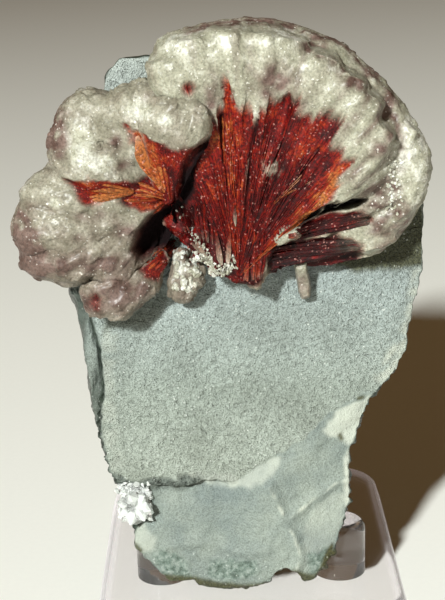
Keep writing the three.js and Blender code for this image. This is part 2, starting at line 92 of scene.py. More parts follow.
AIM = Vector((0, -0.015, 0.05))
for lamp_name, direction, distance, size, power, colour, aside in (
        ("lamp_key", (-0.35, -0.81, 0.47), 2.1, 0.2, 144.0, "#f8fcf9", 60),
        ("lamp_fill", (0.75, -0.6, 0.35), 1.2, 0.8, 0.3, "#ffe9cc", 0)):
    bpy.ops.object.light_add(type="AREA")
    lamp = bpy.context.object
    lamp.name = lamp_name
    lamp.data.shape = "DISK"
    lamp.data.size = size
    lamp.data.energy = power
    lamp.data.color = linear(colour)[:3]
    towards = Vector(direction).normalized()
    lamp.location = AIM + towards * distance
    # The key lamp is turned aside, so that the table is brighter at the right.
    lamp.rotation_euler = (Matrix.Rotation(math.radians(-aside), 3, "Z") @ towards).to_track_quat("Z",
        "Y").to_euler()

room = bpy.data.worlds.new("room light")
room.use_nodes = True
room.node_tree.nodes["Background"].inputs["Color"].default_value = linear("#ffcb8a")
room.node_tree.nodes["Background"].inputs["Strength"].default_value = 0.085
bpy.context.scene.world = room
bpy.context.scene.view_settings.view_transform = "Standard"

# The camera looks down at about 17 degrees, from a little left of the middle, with a slight roll.
CAMERA_PLACE = (-0.0040, -0.2678, 0.1311)
CAMERA_PITCH = math.radians(16.7)
CAMERA_ROLL = math.radians(1.5)
bpy.ops.object.camera_add(location=CAMERA_PLACE)
camera = bpy.context.object
camera.matrix_world = (Matrix.Translation(camera.location)
    @ Matrix.Rotation(math.pi / 2 - CAMERA_PITCH, 4, "X")
    @ Matrix.Rotation(-CAMERA_ROLL, 4, "Z"))
camera.data.sensor_width = 36
camera.data.lens = 90
camera.data.clip_start = 0.01
bpy.context.scene.camera = camera


# The stand
# A base plate and three pegs of clear cast acrylic. The plate has rounded corners and sloping polished
# edges, and the pegs are sawn from rod, domed by polishing, and cemented on.

PLATE = (0.056, 0.068, 0.0045)
PLATE_MIDDLE_Y = -0.0035
PLATE_CORNER = 0.009
PLATE_SLOPE = 0.0014

# The emission colour is only for the painted glow at the plate's sloping edges.
acrylic, tree, shader = new_material(
    "clear cast acrylic, polished", Base_Color=linear("#faf6f9"), Roughness=0.03, IOR=1.49,
    Transmission_Weight=1.0, Emission_Color=linear("#f2eaee"))
# Polishing leaves ripples about 3 mm long.
place = add_node(tree, "TexCoord", {}, "Object")
polish = add_node(tree, "TexNoise", {"Scale": 320.0, "Detail": 2.0, "Vector": place})
# The plate's sloping edges are a little hazy, and a faint painted glow (emission) stands in for the light
# that runs inside it and comes out there, so that they stand out pale from its clear top.
from_middle = add_node(tree, "VectorMath", {"operation": "SUBTRACT", 1: (0, PLATE_MIDDLE_Y, 0), 0: place})
for operation, value in (("ABSOLUTE", (0, 0, 0)), ("MULTIPLY", (1, 1, 0)),
        ("SUBTRACT", (PLATE[0] / 2 - PLATE_CORNER, PLATE[1] / 2 - PLATE_CORNER, 0)), ("MAXIMUM", (0, 0, 0))):
    from_middle = add_node(tree, "VectorMath", {"operation": operation, 1: value, 0: from_middle})
from_corner = add_node(tree, "VectorMath", {"operation": "LENGTH", 0: from_middle})
for socket, clear_value, hazy_value in (("Roughness", 0.03, 0.4), ("Transmission Weight", 0.97, 0.62),
        ("Emission Strength", 0.0, 0.1)):
    haze = add_node(tree, "MapRange",
        {"From Min": 0.0060, "From Max": 0.0078, "To Min": clear_value, "To Max": hazy_value,
            "Value": from_corner})
    tree.links.new(haze, shader.inputs[socket])
ripple = add_node(tree, "Bump", {"Strength": 0.05, "Distance": 0.0002, "Height": polish})
tree.links.new(ripple, shader.inputs["Normal"])


def pick(piece):
    """Makes a piece the only one selected, and the active one."""
    bpy.ops.object.select_all(action="DESELECT")
    piece.select_set(True)
    bpy.context.view_layer.objects.active = piece


def select_parts(piece, kind, wanted):
    """Selects the edges or faces that a test picks, and leaves the piece in edit mode."""
    bpy.ops.object.mode_set(mode="EDIT")
    bpy.ops.mesh.select_mode(type=kind)
    bpy.ops.mesh.select_all(action="DESELECT")
    bpy.ops.object.mode_set(mode="OBJECT")
    for part in piece.data.edges if kind == "EDGE" else piece.data.polygons:
        part.select = bool(wanted(part))
    bpy.ops.object.mode_set(mode="EDIT")


def round_rim(piece, side, width, segments):
    """Rounds the rim of a piece's top, which is side 1, or of its underside, which is side -1."""
    select_parts(piece, "FACE", lambda face: face.normal.z * side > 0.9)
    bpy.ops.mesh.region_to_loop()
    bpy.ops.mesh.bevel(offset=width, segments=segments, affect="EDGES")
    bpy.ops.object.mode_set(mode="OBJECT")


def apply_modifier(piece, kind, **settings):
    pick(piece)
    modifier = piece.modifiers.new(kind.title(), kind)
    for key, value in settings.items():
        setattr(modifier, key, value)
    bpy.ops.object.modifier_apply(modifier=modifier.name)


def finish_piece(piece, name, material, node):
    """Applies the piece's place, names it, and hands it to the frame in place of its solid."""
    pick(piece)
    bpy.ops.object.transform_apply(location=True, rotation=True, scale=True)
    piece.name = name
    piece.data.name = name
    piece.data.materials.clear()
    piece.data.materials.append(material)
    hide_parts(node)
    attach(piece, "root")
    # Light passes through the plate to the card, and the pegs bend it away and throw a shadow.
    piece.visible_shadow = node != "stand_base"
    piece.visible_diffuse = material is not acrylic
    piece.select_set(False)


bpy.ops.mesh.primitive_cube_add(size=1, location=(0, PLATE_MIDDLE_Y, PLATE[2] / 2), scale=PLATE)
plate = bpy.context.object
bpy.ops.object.transform_apply(location=True, rotation=True, scale=True)
heights = [vertex.co.z for vertex in plate.data.vertices]
select_parts(plate, "EDGE", lambda edge: heights[edge.vertices[0]] != heights[edge.vertices[1]])
bpy.ops.mesh.bevel(offset=PLATE_CORNER, segments=12, affect="EDGES")
select_parts(plate, "FACE", lambda face: face.normal.z > 0.9)
bpy.ops.transform.resize(value=((PLATE[0] - 2 * PLATE_SLOPE) / PLATE[0],
    (PLATE[1] - 2 * PLATE_SLOPE) / PLATE[1], 1))
round_rim(plate, 1, 0.0010, 5)
round_rim(plate, -1, 0.0003, 2)
bpy.ops.object.shade_smooth_by_angle(angle=math.radians(25))
apply_modifier(plate, "WEIGHTED_NORMAL", keep_sharp=True)
finish_piece(plate, "acrylic_base_plate", acrylic, "stand_base")

PEG_RADIUS = 0.00475
PEG_HEIGHT = 0.010
PEG_FOOT = 0.0048
PEG_DOME = 0.0018
for node, x, y in (("stand_peg_left", -0.016, -0.0195), ("stand_peg_right", 0.016, -0.0195),
        ("stand_peg_rear", 0.0, 0.0065)):
    bpy.ops.mesh.primitive_cylinder_add(vertices=64, radius=PEG_RADIUS, depth=PEG_HEIGHT,
        location=(x, y, PEG_FOOT + PEG_HEIGHT / 2))
    peg = bpy.context.object
    round_rim(peg, 1, PEG_DOME, 8)
    bpy.ops.object.shade_smooth_by_angle(angle=math.radians(30))
    apply_modifier(peg, "WEIGHTED_NORMAL", keep_sharp=True)
    finish_piece(peg, node.replace("stand_", "acrylic_"), acrylic, node)


# The slab
# A thick slab of chalcedony from a gas cavity. Its face is crusted with fine druse, which ends in a
# broken edge above a smooth shelf, and its sides and back are plain fractures.

MM = 0.001
LEAN = math.radians(5)
FACE_FOOT = (-28.5, 5.3)


def from_face(points):
    """Millimetres across, up and out of the slab's face to metres in the row's frame."""
    p = np.asarray(points, dtype=float)
    across, up, out = p[..., 0], p[..., 1], p[..., 2]
    y = FACE_FOOT[0] - out * math.cos(LEAN) + up * math.sin(LEAN)
    z = FACE_FOOT[1] + out * math.sin(LEAN) + up * math.cos(LEAN)
    return np.stack([across, y, z], -1) * MM


def to_face(points):
    """Metres in the row's frame to millimetres across, up and out of the slab's face."""
    p = np.asarray(points, dtype=float) / MM
    y, z = p[..., 1] - FACE_FOOT[0], p[..., 2] - FACE_FOOT[1]
    up = y * math.sin(LEAN) + z * math.cos(LEAN)
    out = -y * math.cos(LEAN) + z * math.sin(LEAN)
    return np.stack([p[..., 0], up, out], -1)


def surface(piece):
    """A piece's points and its normals there."""
    points, normals = np.empty((2, len(piece.data.vertices) * 3))
    piece.data.vertices.foreach_get("co", points)
    piece.data.vertex_normals.foreach_get("vector", normals)
    return points.reshape(-1, 3), normals.reshape(-1, 3)


def write_points(piece, points):
    piece.data.vertices.foreach_set("co", np.asarray(points, dtype=float).ravel())
    piece.data.update()


def store(piece, **layers):
    """Keeps numbers or vectors per vertex as attributes that a material can read."""
    for name, values in layers.items():
        values = np.asarray(values, dtype=np.float32)
        kind, field = ("FLOAT_VECTOR", "vector") if values.ndim == 2 else ("FLOAT", "value")
        piece.data.attributes.new(name, kind, "POINT").data.foreach_set(field, values.ravel())


def relaxed(piece, points, weight, rounds, direction):
    """Points drawn along a direction towards the middle of their neighbours, by a weight for each."""
    ends = np.empty(len(piece.data.edges) * 2, dtype=np.int32)
    piece.data.edges.foreach_get("vertices", ends)
    here, there = np.concatenate([ends[::2], ends[1::2]]), np.concatenate([ends[1::2], ends[::2]])
    count = np.bincount(here, minlength=len(points))
    level = points @ direction
    for _ in range(rounds):
        level = level + (np.bincount(here, level[there], len(points)) / count - level) * weight
    return points + (level - points @ direction)[:, None] * direction


def smooth_step(x, low, high):
    t = np.clip((np.asarray(x, dtype=float) - low) / (high - low), 0, 1)
    return t * t * (3 - 2 * t)


def rough(points, size, seed):
    """Perlin noise between about -1 and 1 at points in millimetres, with lumps of that size."""
    shift = Vector((seed * 13.7, seed * 5.1, seed * 9.3))
    return np.array([noise.noise(Vector(p) / size + shift) for p in points])


# The tilts of the faces below are the same in each run.
noise.seed_set(3)


def tilted_faces(points, size, seed):
    """Heights of small flat faces of about that size in millimetres, each tilted its own way."""
    shift = Vector((seed * 3.7, seed * 5.1, seed * 9.3))
    heights = []
    for p in points:
        here = Vector(p) / size + shift
        middle = noise.voronoi(here)[1][0]
        heights.append((here - middle).dot(noise.noise_vector(middle * 9.7)) * 2)
    return np.array(heights)


def distance_to_line(points, line):
    """Each point's distance from a bent line, both across and up in millimetres."""
    nearest = np.full(len(points), 1e9)
    for a, b in zip(line[:-1], line[1:]):
        a, b = np.array(a, float), np.array(b, float)
        t = np.clip(((points - a) @ (b - a)) / ((b - a) @ (b - a)), 0, 1)
        nearest = np.minimum(nearest, np.linalg.norm(points - (a + t[:, None] * (b - a)), axis=1))
    return nearest


def near_lines(points, lines, width, power=4):
    """1 along bent lines and 0 away from them, by a width in millimetres."""
    return sum(np.exp(-(distance_to_line(points, line) / width) ** power) for line in lines)


def spots(local, places):
    """The sum of soft spots, each given as across, up, half width, half height and strength."""
    return sum(strength * np.exp(-((local[:, 0] - x) / w) ** 2 - ((local[:, 1] - y) / h) ** 2)
        for x, y, w, h, strength in places)


def polar(local, root):
    """Each point's angle in degrees and distance from a root on the face."""
    offset = local[:, :2] - root
    return np.degrees(np.arctan2(offset[:, 1], offset[:, 0])), np.hypot(*offset.T)


def patch(points, outline, soft, jitter=0.0):
    """1 inside an outline on the face and 0 outside it, with a soft border."""
    x, y = points[:, 0], points[:, 1]
    inside = np.zeros(len(points), bool)
    ends = outline[1:] + outline[:1]
    for (ax, ay), (bx, by) in zip(outline, ends):
        if ay != by:
            inside ^= ((ay > y) != (by > y)) & (x < (bx - ax) * (y - ay) / (by - ay) + ax)
    depth = distance_to_line(points[:, :2], outline + outline[:1]) * np.where(inside, 1, -1)
    return smooth_step(depth + jitter, -soft / 2, soft / 2)


def areas(points, outlines, soft, jitter=0.0, shares=None):
    """The sum of the patches inside several outlines, each with its share."""
    return sum(share * patch(points, outline, soft, jitter)
        for outline, share in zip(outlines, shares or [1] * len(outlines)))


def copy_of_solid(node):
    """A merged copy of a solid of the frame, to be worked on."""
    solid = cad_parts[node]
    piece = bpy.data.objects.new(node + "_copy", solid.data.copy())
    bpy.context.scene.collection.objects.link(piece)
    pick(piece)
    bpy.ops.object.mode_set(mode="EDIT")
    bpy.ops.mesh.select_all(action="SELECT")
    bpy.ops.mesh.remove_doubles(threshold=0.00001)
    bpy.ops.object.mode_set(mode="OBJECT")
    return piece


def fuse(piece, voxel, smoothing=0):
    """Gives a piece one even skin, and smooths it."""
    apply_modifier(piece, "REMESH", mode="VOXEL", voxel_size=voxel)
    if smoothing:
        apply_modifier(piece, "SMOOTH", factor=0.5, iterations=smoothing)
    return piece


CRUST_EDGE = ((-24, 21.5), (-20.5, 19.9), (-17.5, 20.2), (-13, 20.3), (-8.7, 20.9), (-5.8, 20.6),
    (-3.1, 20.6), (-0.5, 22.4), (2.1, 24.2), (5.6, 25.8), (8.8, 27.7), (11.4, 30), (14, 32.6), (16.5, 34.4),
    (20, 36.5))
# The shelf's creases, where its broken facets meet, as across and up.
CREASES = (((3.2, 19.7), (4.7, 16.9), (5.9, 13.2), (7.6, 10.4), (8.5, 6.6), (7.5, 3.9)), ((7.3, 14.1),
    (10.4, 16.8), (13.9, 19), (16.9, 20.2)), ((-14.8, 8.6), (-9, 9.6), (-2.5, 7.6), (2.5, 8)))
# Pale fresh breaks, green see-through spots and brown stains on the shelf.
PALE_LINES = (((-23.6, 47), (-23.8, 41.4), (-24.6, 35.5), (-24.1, 30.1), (-24.4, 27.1), (-22.8, 23.6)),
    ((29.4, 56), (28.5, 49), (26.5, 44), (23.4, 38.6)), ((-9.8, 21.2), (-6.6, 20.8), (-3.6, 20.6)))
DARK_LINES = (((-16.2, 2.3), (-13.3, 2.2), (-10.2, 1.9), (-7.6, 1), (-4.9, 0.4), (-1.3, 0.3), (3.1, 1.2)),
    ((7.6, 3.4), (9.4, 2.5), (11.2, 1.8), (12.2, 2.8), (13.9, 6.9)))
PALE_BREAKS = ([(-3.5, 19.7), (-0.9, 22.3), (1.8, 24.1), (5.3, 24.9), (4.8, 22.8), (2.6, 20.6), (-0.1, 19.6)],
    [(12.8, 29.5), (15, 32.4), (18, 34.2), (21.6, 35.3), (20.9, 31.2), (20.5, 27.6), (18.6, 25), (16.2, 27.2),
    (14.1, 28)], [(20, 26.9), (18.4, 22.8), (18, 19.6), (18.3, 15.9), (18.7, 14), (16.8, 14), (16.3, 19.6),
    (16.7, 25.2)], [(9.4, 7.4), (9, 11.4), (11.2, 15.6), (14.8, 18), (16.4, 17.6), (16.2, 12.6), (14.6, 9),
    (12.4, 7)], [(-21.6, 14), (-18.6, 12.6), (-17, 10.1), (-17.2, 8.2), (-20, 7.6), (-22, 10.4)])
GREEN_SPOTS = ([(-17.4, 7.7), (-13.5, 7.6), (-11.4, 5.3), (-10.6, 2.4), (-13.4, 2), (-16, 3.4)], [(-7.4, 5.6),
    (-3.9, 6), (0.5, 5.9), (1.4, 4), (-1, 2.7), (-4.2, 1.6), (-7.8, 2.3)], [(9.8, 6.6), (13.4, 7.9),
    (13, 3.3), (10.2, 2.8)])
# Painted shade: the druse is painted dark olive in the two nooks under the crystals, where their shadow
# falls.
NOOKS = ([(15, 58.2), (18, 57.2), (22.8, 57.4), (28.7, 57.2), (32, 57.8), (32, 68), (26.2, 68), (17, 64)],
    [(-24, 48.2), (-21.4, 48.6), (-18.2, 48.4), (-14.9, 50.4), (-12.6, 53.1), (-14.7, 57), (-24, 57)])
BROWN_STAINS = (((14.1, 8.2), (13.4, 5.6), (11.8, 2.8)), ((15.8, 28.3), (16.1, 27.6)), ((19.2, 34.9),
    (19.9, 34.9)), ((-20.6, 9.4), (-19.4, 8)))

slab = copy_of_solid("chalcedony_matrix")
SLAB_VOXEL = 0.00064
fuse(slab, SLAB_VOXEL)
face_out = np.array([0, -math.cos(LEAN), math.sin(LEAN)])


def gets_fine_net(face):
    """Whether a face is on the druse or the broken border, whose net is the finer one."""
    across, up, out = to_face(face.center)
    turned = face.normal.dot(Vector(face_out))
    if turned > 0.5 and (out > -4.5 or up > np.interp(across, *zip(*CRUST_EDGE)) - 2):
        return True
    return out > -4.5 and turned < 0.85 and (across > 4 or up < 24)


select_parts(slab, "FACE", gets_fine_net)
bpy.ops.mesh.subdivide(number_cuts=1, quadcorner="INNERVERT")
bpy.ops.object.mode_set(mode="OBJECT")

points, normals = surface(slab)
local = to_face(points)
facing = normals @ face_out
# The front lip hangs a little lower than the solid's, but stays above the plate.
lip = np.interp(local[:, 0], (-21, -16, -12, -8, -5, -2, 3, 4.6, 7.4, 9.5, 12),
    (0.4, 1.7, 1.4, 1.2, 1.2, 0.6, 0.5, -0.5, -0.4, 0.9, 0))
lip *= smooth_step(8 - local[:, 1], 0, 5) * smooth_step(local[:, 2], -6.5, -4)
local[:, 1] = np.maximum(local[:, 1] - lip, np.minimum(local[:, 1], -0.7 - local[:, 2] * math.sin(LEAN)))
# Its upper right border stands out a little further.
local[:, 0] += (smooth_step(local[:, 0], 22, 28)
    * np.interp(local[:, 1], (38, 47, 55, 70), (0.2, 0.6, 1.2, 1.2)))
# At its lower left the druse reaches out over the wall.
local[:, 0] -= (smooth_step(-local[:, 0], 17, 22)
    * np.interp(local[:, 1], (19, 23, 31, 37), (0.0, 1.1, 1.3, 0.0)) * smooth_step(local[:, 2], -7, -1))
across, up = local[:, 0], local[:, 1]
flat = local * [1, 1, 0]
edge_height = np.interp(across, *zip(*CRUST_EDGE))
below = edge_height + 0.5 * rough(flat, 1.6, 1) + 0.7 * rough(flat, 4, 2) - up
on_crust = 1 - smooth_step(below, -0.1, 0.4)
swell = 0.55 * rough(flat, 17, 3) + 0.3 * rough(flat, 6, 4)
# The druse lies in fine crinkles that run a little downhill to the left, with single grains on them.
bent = flat + 0.9 * np.stack([rough(flat, 3.2, 5), rough(flat, 3.2, 6), np.zeros(len(flat))], -1)
crinkled = bent @ np.array([[0.75, 0.25, 0], [-0.3, 1.1, 0], [0, 0, 0]])
crinkle = 1.1 * rough(crinkled, 1.25, 7) + 0.9 * rough(flat, 0.7, 8)
busy = 0.45 + 0.55 * smooth_step(rough(flat, 8, 9) + (30 - up) / 40, -0.3, 0.5)
crust_relief = swell + 0.2 * crinkle * busy - 0.012 * np.maximum(0, across - 18) ** 2
left_part = smooth_step(-across, 1, 6)
tread = smooth_step(below, 0, 5) * smooth_step(across, -6, 3) * 1.1
step_down = (1.5 - 1.1 * smooth_step(below, 1.0, 5.0)) * smooth_step(below, 0, 0.7) * left_part
right_facet = 0.13 * np.maximum(0, across - 3 - 0.25 * (20 - up)) * smooth_step(below, 0, 6)
foot_curl = 0.02 * np.maximum(0, 7 - up) ** 2
wander = flat[:, :2] + 0.5 * np.stack([rough(flat, 2.4, 11), rough(flat, 2.4, 12)], -1)
crease = near_lines(wander, CREASES, 0.32)
ledge = sum(smooth_step(-distance_to_line(wander, line), -1.6, 0) for line in CREASES)
# The broken band below the crust's left edge is rough stone, painted darker partly as shade under its
# overhang.
broken = (smooth_step(below + 0.5 * rough(flat, 1.2, 27), -1.8, -0.8) * (1 - smooth_step(below, 1.0, 1.8))
    * smooth_step(-across, 7, 10))
chip = (0.5 * np.abs(rough(local, 2.8, 13)) * smooth_step(9 - up, 0, 4)
    + 0.25 * np.abs(rough(local, 1.1, 10)) * smooth_step(8 - up, 0, 3))
shelf_relief = (tread - step_down - right_facet - foot_curl + 0.5 * ledge - chip + 0.35 * swell
    + 0.12 * rough(flat, 2.2, 19)
    + 0.06 * rough(flat, 0.9, 14))
relief = (on_crust * crust_relief + (1 - on_crust) * shelf_relief
    + broken * (0.6 * rough(flat, 1.1, 24) + 0.3 * rough(flat, 2.0, 25) - 0.3))
near_front = smooth_step(facing, 0.5, 0.85) * smooth_step(local[:, 2], -5.5, -3.5)
pocket = smooth_step(np.hypot(across + 20.8, up - 16.4), 4.2, 6.0)
local[:, 2] += (relief - local[:, 2]) * near_front * pocket
border = (1 - near_front) * smooth_step(local[:, 2], -7, -1.5)
fracture = (0.5 * rough(local, 7, 15) + 0.35 * np.abs(rough(local, 2.6, 16)) + 0.14 * rough(local, 1.0, 17)
    + border * (1.3 * np.abs(rough(local, 2.0, 20)) + 0.5 * rough(local, 0.8, 21) - 0.35)
    * smooth_step(44 - up, 0, 8))
write_points(slab, from_face(local) + normals * ((1 - near_front) * fracture * MM)[:, None])
on_shelf = (1 - on_crust) * near_front
edge_jitter = 0.5 * rough(flat, 1.3, 18)
olive_line = near_lines(wander, DARK_LINES, 1.0)
pale_line = near_lines(wander, PALE_LINES, 1.4)
# Where painted glints go: on the druse, along its foot and in patches on the sides.
store(slab, crust=on_crust * near_front, face=near_front, broken=broken * near_front,
    glitter=np.clip(on_crust * near_front + 0.6 * smooth_step(9 - up, 0, 2)
        + (1 - near_front) * smooth_step(rough(local, 2.5, 26), -0.2, 0.3), 0, 1),
    pale=np.clip(areas(flat, PALE_BREAKS, 1.0, edge_jitter, (0.65, 1, 1, 0.3, 1)) * on_shelf
                 + 0.9 * pale_line * near_front * smooth_step(rough(flat, 1.8, 23), -0.6, 0.2)
                 + 0.75 * crease * (across > 2) * smooth_step(rough(flat, 1.6, 22), -0.3, 0.5)
                 * on_shelf, 0, 1)
    * (1 - 0.45 * smooth_step(-across, 14, 17)),
    green=np.clip(areas(flat, GREEN_SPOTS, 1.3, 1.4 * edge_jitter), 0, 1) * on_shelf * 0.9,
    # Brown stains, dark olive lines along the foot, and painted shade in the nooks under the crystals.
    stain=np.clip(near_lines(wander, BROWN_STAINS, 0.4, 2) + 0.95 * olive_line
                  + near_front * areas(flat, NOOKS, 1.6, edge_jitter, (0.92, 0.5)), 0, 1))
bpy.ops.object.shade_smooth()

chalcedony, tree, shader = new_material(
    "chalcedony, druse on the face and waxy fractures", IOR=1.54, Specular_IOR_Level=0.25,
    Subsurface_Weight=0.05,
    Subsurface_Radius=(0.0012, 0.0014, 0.0012), Subsurface_Scale=1.0)
place = add_node(tree, "TexCoord", {}, "Object")
mask = {name: add_node(tree, "Attribute", {"attribute_name": name}, "Fac")
    for name in ("crust", "face", "broken", "pale", "green", "stain", "glitter")}
cloud = add_node(tree, "TexNoise", {"Scale": 90.0, "Detail": 5.0, "Roughness": 0.6, "Vector": place})
# Druse grains are 0.2 to 0.4 mm across, heaped in crinkles of about 1 mm.
grain = add_node(tree, "TexNoise", {"Scale": 4000.0, "Detail": 2.0, "Vector": place})
crinkle_map = add_node(tree, "TexNoise",
    {"Scale": 1050.0, "Detail": 3.0, "Roughness": 0.6, "Distortion": 0.2, "Vector": place})
grain_faces = add_node(tree, "TexVoronoi", {"Scale": 4000.0, "Vector": place}, "Color")
grain_face = add_node(tree, "SeparateColor", {"Color": grain_faces})
height = add_node(tree, "SeparateXYZ", {"Vector": place}, "Z")
# The druse is bluer under the crystals and yellower towards its foot.
height = add_node(tree, "Math", {"operation": "MULTIPLY", 1: 10.0, 0: height})
tint = {name: add_node(tree, "ValToRGB", {"stops": stops, "Fac": source})
    for name, source, stops in (
        ("druse", height, ((0.2, "#b2b9ae"), (0.42, "#9ca59d"), (0.64, "#a6b1b1"), (1.0, "#b6beb9"))),
        ("cloud shade", cloud, ((0.34, "#dededc"), (0.66, "#ffffff"))),
        ("grain shade", grain, ((0.34, "#a3a5a0"), (0.6, "#ffffff"))),
        ("crinkle shade", crinkle_map, ((0.34, "#9a9c96"), (0.5, "#f2f2ee"), (0.7, "#ffffff"))),
        ("shelf", cloud, ((0.36, "#6c7673"), (0.64, "#8a9289"))),
        ("pale", cloud, ((0.34, "#989d94"), (0.66, "#b4b8ab"))),
        ("green", crinkle_map, ((0.36, "#3c4940"), (0.5, "#627067"), (0.64, "#868f88"))),
        # The broken band: rough stone, partly painted shade under the crust's edge.
        ("broken", crinkle_map, ((0.36, "#2e342e"), (0.6, "#6c736c"))),
        ("side", crinkle_map, ((0.34, "#171d18"), (0.7, "#3c443c"))),
        ("stain", grain, ((0.3, "#1f2010"), (0.7, "#4c4b2c"))),
        ("glint", grain_face, ((0.975, "#000000"), (1.0, "#ffffff"))))}
# Painted glints: a few grain faces are painted near white, as sparkles of the lamp.
glint_on_druse = add_node(tree, "Math", {"operation": "MULTIPLY", 0: tint["glint"], 1: mask["glitter"]})
glint_on_druse = add_node(tree, "Math", {"operation": "MULTIPLY", 0: glint_on_druse, 1: grain})
# The layers of colour: what each one makes, how it is laid on, how much, under it, and over it.
for makes, blend, amount, under, over in (
        ("druse", "MULTIPLY", 1.0, "druse", "cloud shade"),
        ("druse", "MULTIPLY", 0.32, "druse", "crinkle shade"),
        ("druse", "MULTIPLY", 0.55, "druse", "grain shade"),
        ("shelf", "MULTIPLY", 0.55, "shelf", "grain shade"),
        ("stone", "MIX", mask["crust"], "shelf", "druse"), ("stone", "MIX", mask["pale"], "stone", "pale"),
        ("stone", "MIX", mask["green"], "stone", "green"),
        ("stone", "MIX", mask["broken"], "stone", "broken"),
        ("stone", "MIX", mask["face"], "side", "stone"), ("stone", "MIX", mask["stain"], "stone", "stain")):
    tint[makes] = add_node(tree, "Mix",
        {"data_type": "RGBA", "blend_type": blend, 0: amount, 6: tint[under], 7: tint[over]})
stone = add_node(tree, "Mix", {"data_type": "RGBA", 7: linear("#d2d6cf"), 0: glint_on_druse,
    6: tint["stone"]})
tree.links.new(stone, shader.inputs["Base Color"])
bumps = {}
for depth, source, where in ((0.00036, crinkle_map, mask["crust"]), (0.00016, grain, mask["crust"]),
        (0.0003, crinkle_map, mask["face"]), (0.00018, grain, mask["face"])):
    bumps = {"Normal": add_node(tree, "Bump",
        {"Distance": depth, "Height": source, "Strength": where, **bumps})}
tree.links.new(bumps["Normal"], shader.inputs["Normal"])
gloss = add_node(tree, "MapRange", {"To Min": 0.3, "To Max": 0.55, "Value": mask["face"]})
tree.links.new(gloss, shader.inputs["Roughness"])
finish_piece(slab, "chalcedony_slab", chalcedony, "chalcedony_matrix")


# The main fan
# A sheaf of heulandite: hundreds of thin blades that opened from one root, red inside and coated with
# frosted white crystal at their ends. It grew as one piece, so a fused skin carries its crisp blades.

rng = np.random.default_rng(7)


class CrystalHeap:
    """Closed crystal solids in millimetres across, up and out of the face, with their tones and frosts."""

    def __init__(self):
        self.points, self.faces, self.tones, self.frosts = [], [], [], []

    def ring_solid(self, rings, tone=0.5, frosts=None):
        start = sum(len(p) for p in self.points)
        count = len(rings[0])
        self.points.append(np.concatenate(rings))
        self.tones.append(np.repeat(np.broadcast_to(tone, len(rings)), count))
        self.frosts.append(np.repeat(frosts if frosts is not None else [1.0] * len(rings), count))
        for r in range(len(rings) - 1):
            for i in range(count):
                a, b = start + r * count + i, start + r * count + (i + 1) % count
                self.faces.append((a, b, b + count, a + count))
        self.faces.append(tuple(range(start, start + count))[::-1])
        last = start + (len(rings) - 1) * count
        self.faces.append(tuple(range(last, last + count)))

    def lump(self, middle, radii, along, steps=9, around=14):
        """An ellipsoid whose first radius lies along a direction in the plane of the face."""
        middle = np.array(middle, float)
        u = np.array([*along, 0.0]) / np.hypot(*along)
        v = np.array([-u[1], u[0], 0.0])
        rings = []
        for i in range(steps + 1):
            polar = math.pi * (0.02 + 0.96 * i / steps)
            ring = []
            for j in range(around):
                turn = 2 * math.pi * j / around
                ring.append(middle - u * (math.cos(polar) * radii[0])
                    + v * (math.sin(polar) * math.cos(turn) * radii[1])
                    + np.array([0, 0, math.sin(polar) * math.sin(turn) * radii[2]]))
            rings.append(np.array(ring))
        self.ring_solid(rings)

    def blade(self, way, width, thick, tilt, tone, point=0.3, frost_from=0.9, frost_end=0.5):
        """A flat-topped blade with bevelled shoulders along a way of places, that ends in a chisel tip."""
        way = np.array(way, float)
        steps = np.linspace(0, 1, len(way))
        along = np.gradient(way, axis=0)
        along /= np.linalg.norm(along, axis=1)[:, None]
        side = np.cross(along, (0, 0, 1))
        side /= np.linalg.norm(side, axis=1)[:, None]
        front = np.cross(side, along)
        c, s = math.cos(tilt), math.sin(tilt)
        rings = []
        for t, p, u, f in zip(steps, way, side, front):
            u, f = c * u + s * f, c * f - s * u
            w = width * (0.3 + 0.7 * smooth_step(t, 0, 0.6)) * (1 - (1 - point) * max(0, (t - 0.7) / 0.3))
            h = thick * (1 - 0.5 * max(0, (t - 0.8) / 0.2) ** 2)
            rings.append(np.array([p + u * (a * w) + f * (b * h) for a, b in
                ((-0.5, -0.25), (-0.3, 0.15), (0.3, 0.15), (0.5, -0.25), (0.25, -1.0), (-0.25, -1.0))]))
        self.ring_solid(rings, tone * (0.85 + 0.2 * smooth_step(steps, 0.25, 0.9)),
            frost_end * smooth_step(steps, frost_from - 0.15, 1.0))

    def crystals(self, height, line, number, spread, size):
        """Small blunt crystals at random along a line on the front of a piece, in all directions."""
        places = np.array(line, float)
        for _ in range(number):
            along = rng.uniform(0, len(places) - 1)
            start = (places[int(along)] + (along % 1) * (places[int(along) + 1] - places[int(along)])
                + rng.uniform(-spread, spread, 2))
            turn, long = rng.uniform(0, 2 * math.pi), size * rng.uniform(0.9, 1.5)
            self.blade(lay(height, start, start + long * np.array([math.cos(turn), math.sin(turn)]),
                rng.uniform(0.0, 0.3), steps=4),
                size * rng.uniform(0.7, 1.5), size * rng.uniform(0.7, 1.2), rng.uniform(-0.9, 0.9),
                rng.uniform(0.6, 1.7), 0.7, -8, 1.0)

    def as_piece(self, name):
        mesh = bpy.data.meshes.new(name)
        mesh.from_pydata(from_face(np.concatenate(self.points)).tolist(), [], self.faces)
        piece = bpy.data.objects.new(name, mesh)
        bpy.context.scene.collection.objects.link(piece)
        return piece

    def fused(self, name, node, voxel, smoothing):
        """Joins the heap with a copy of the node's solid under one skin."""
        return fuse(joined(self.as_piece(name), copy_of_solid(node)), voxel, smoothing)


def joined(piece, other):
    pick(piece)
    other.select_set(True)
    bpy.ops.object.join()
    return piece


def front_of(piece):
    """A function that gives how far a piece's front stands out at a place across and up."""
    tree = BVHTree.FromPolygons([v.co.copy() for v in piece.data.vertices],
        [p.vertices[:] for p in piece.data.polygons])
    inward = Vector(-face_out)

    def height(across, up):
        hit = tree.ray_cast(Vector(from_face((across, up, 45))), inward)
        return 45 - hit[3] / MM if hit[0] else 0.0
    return height


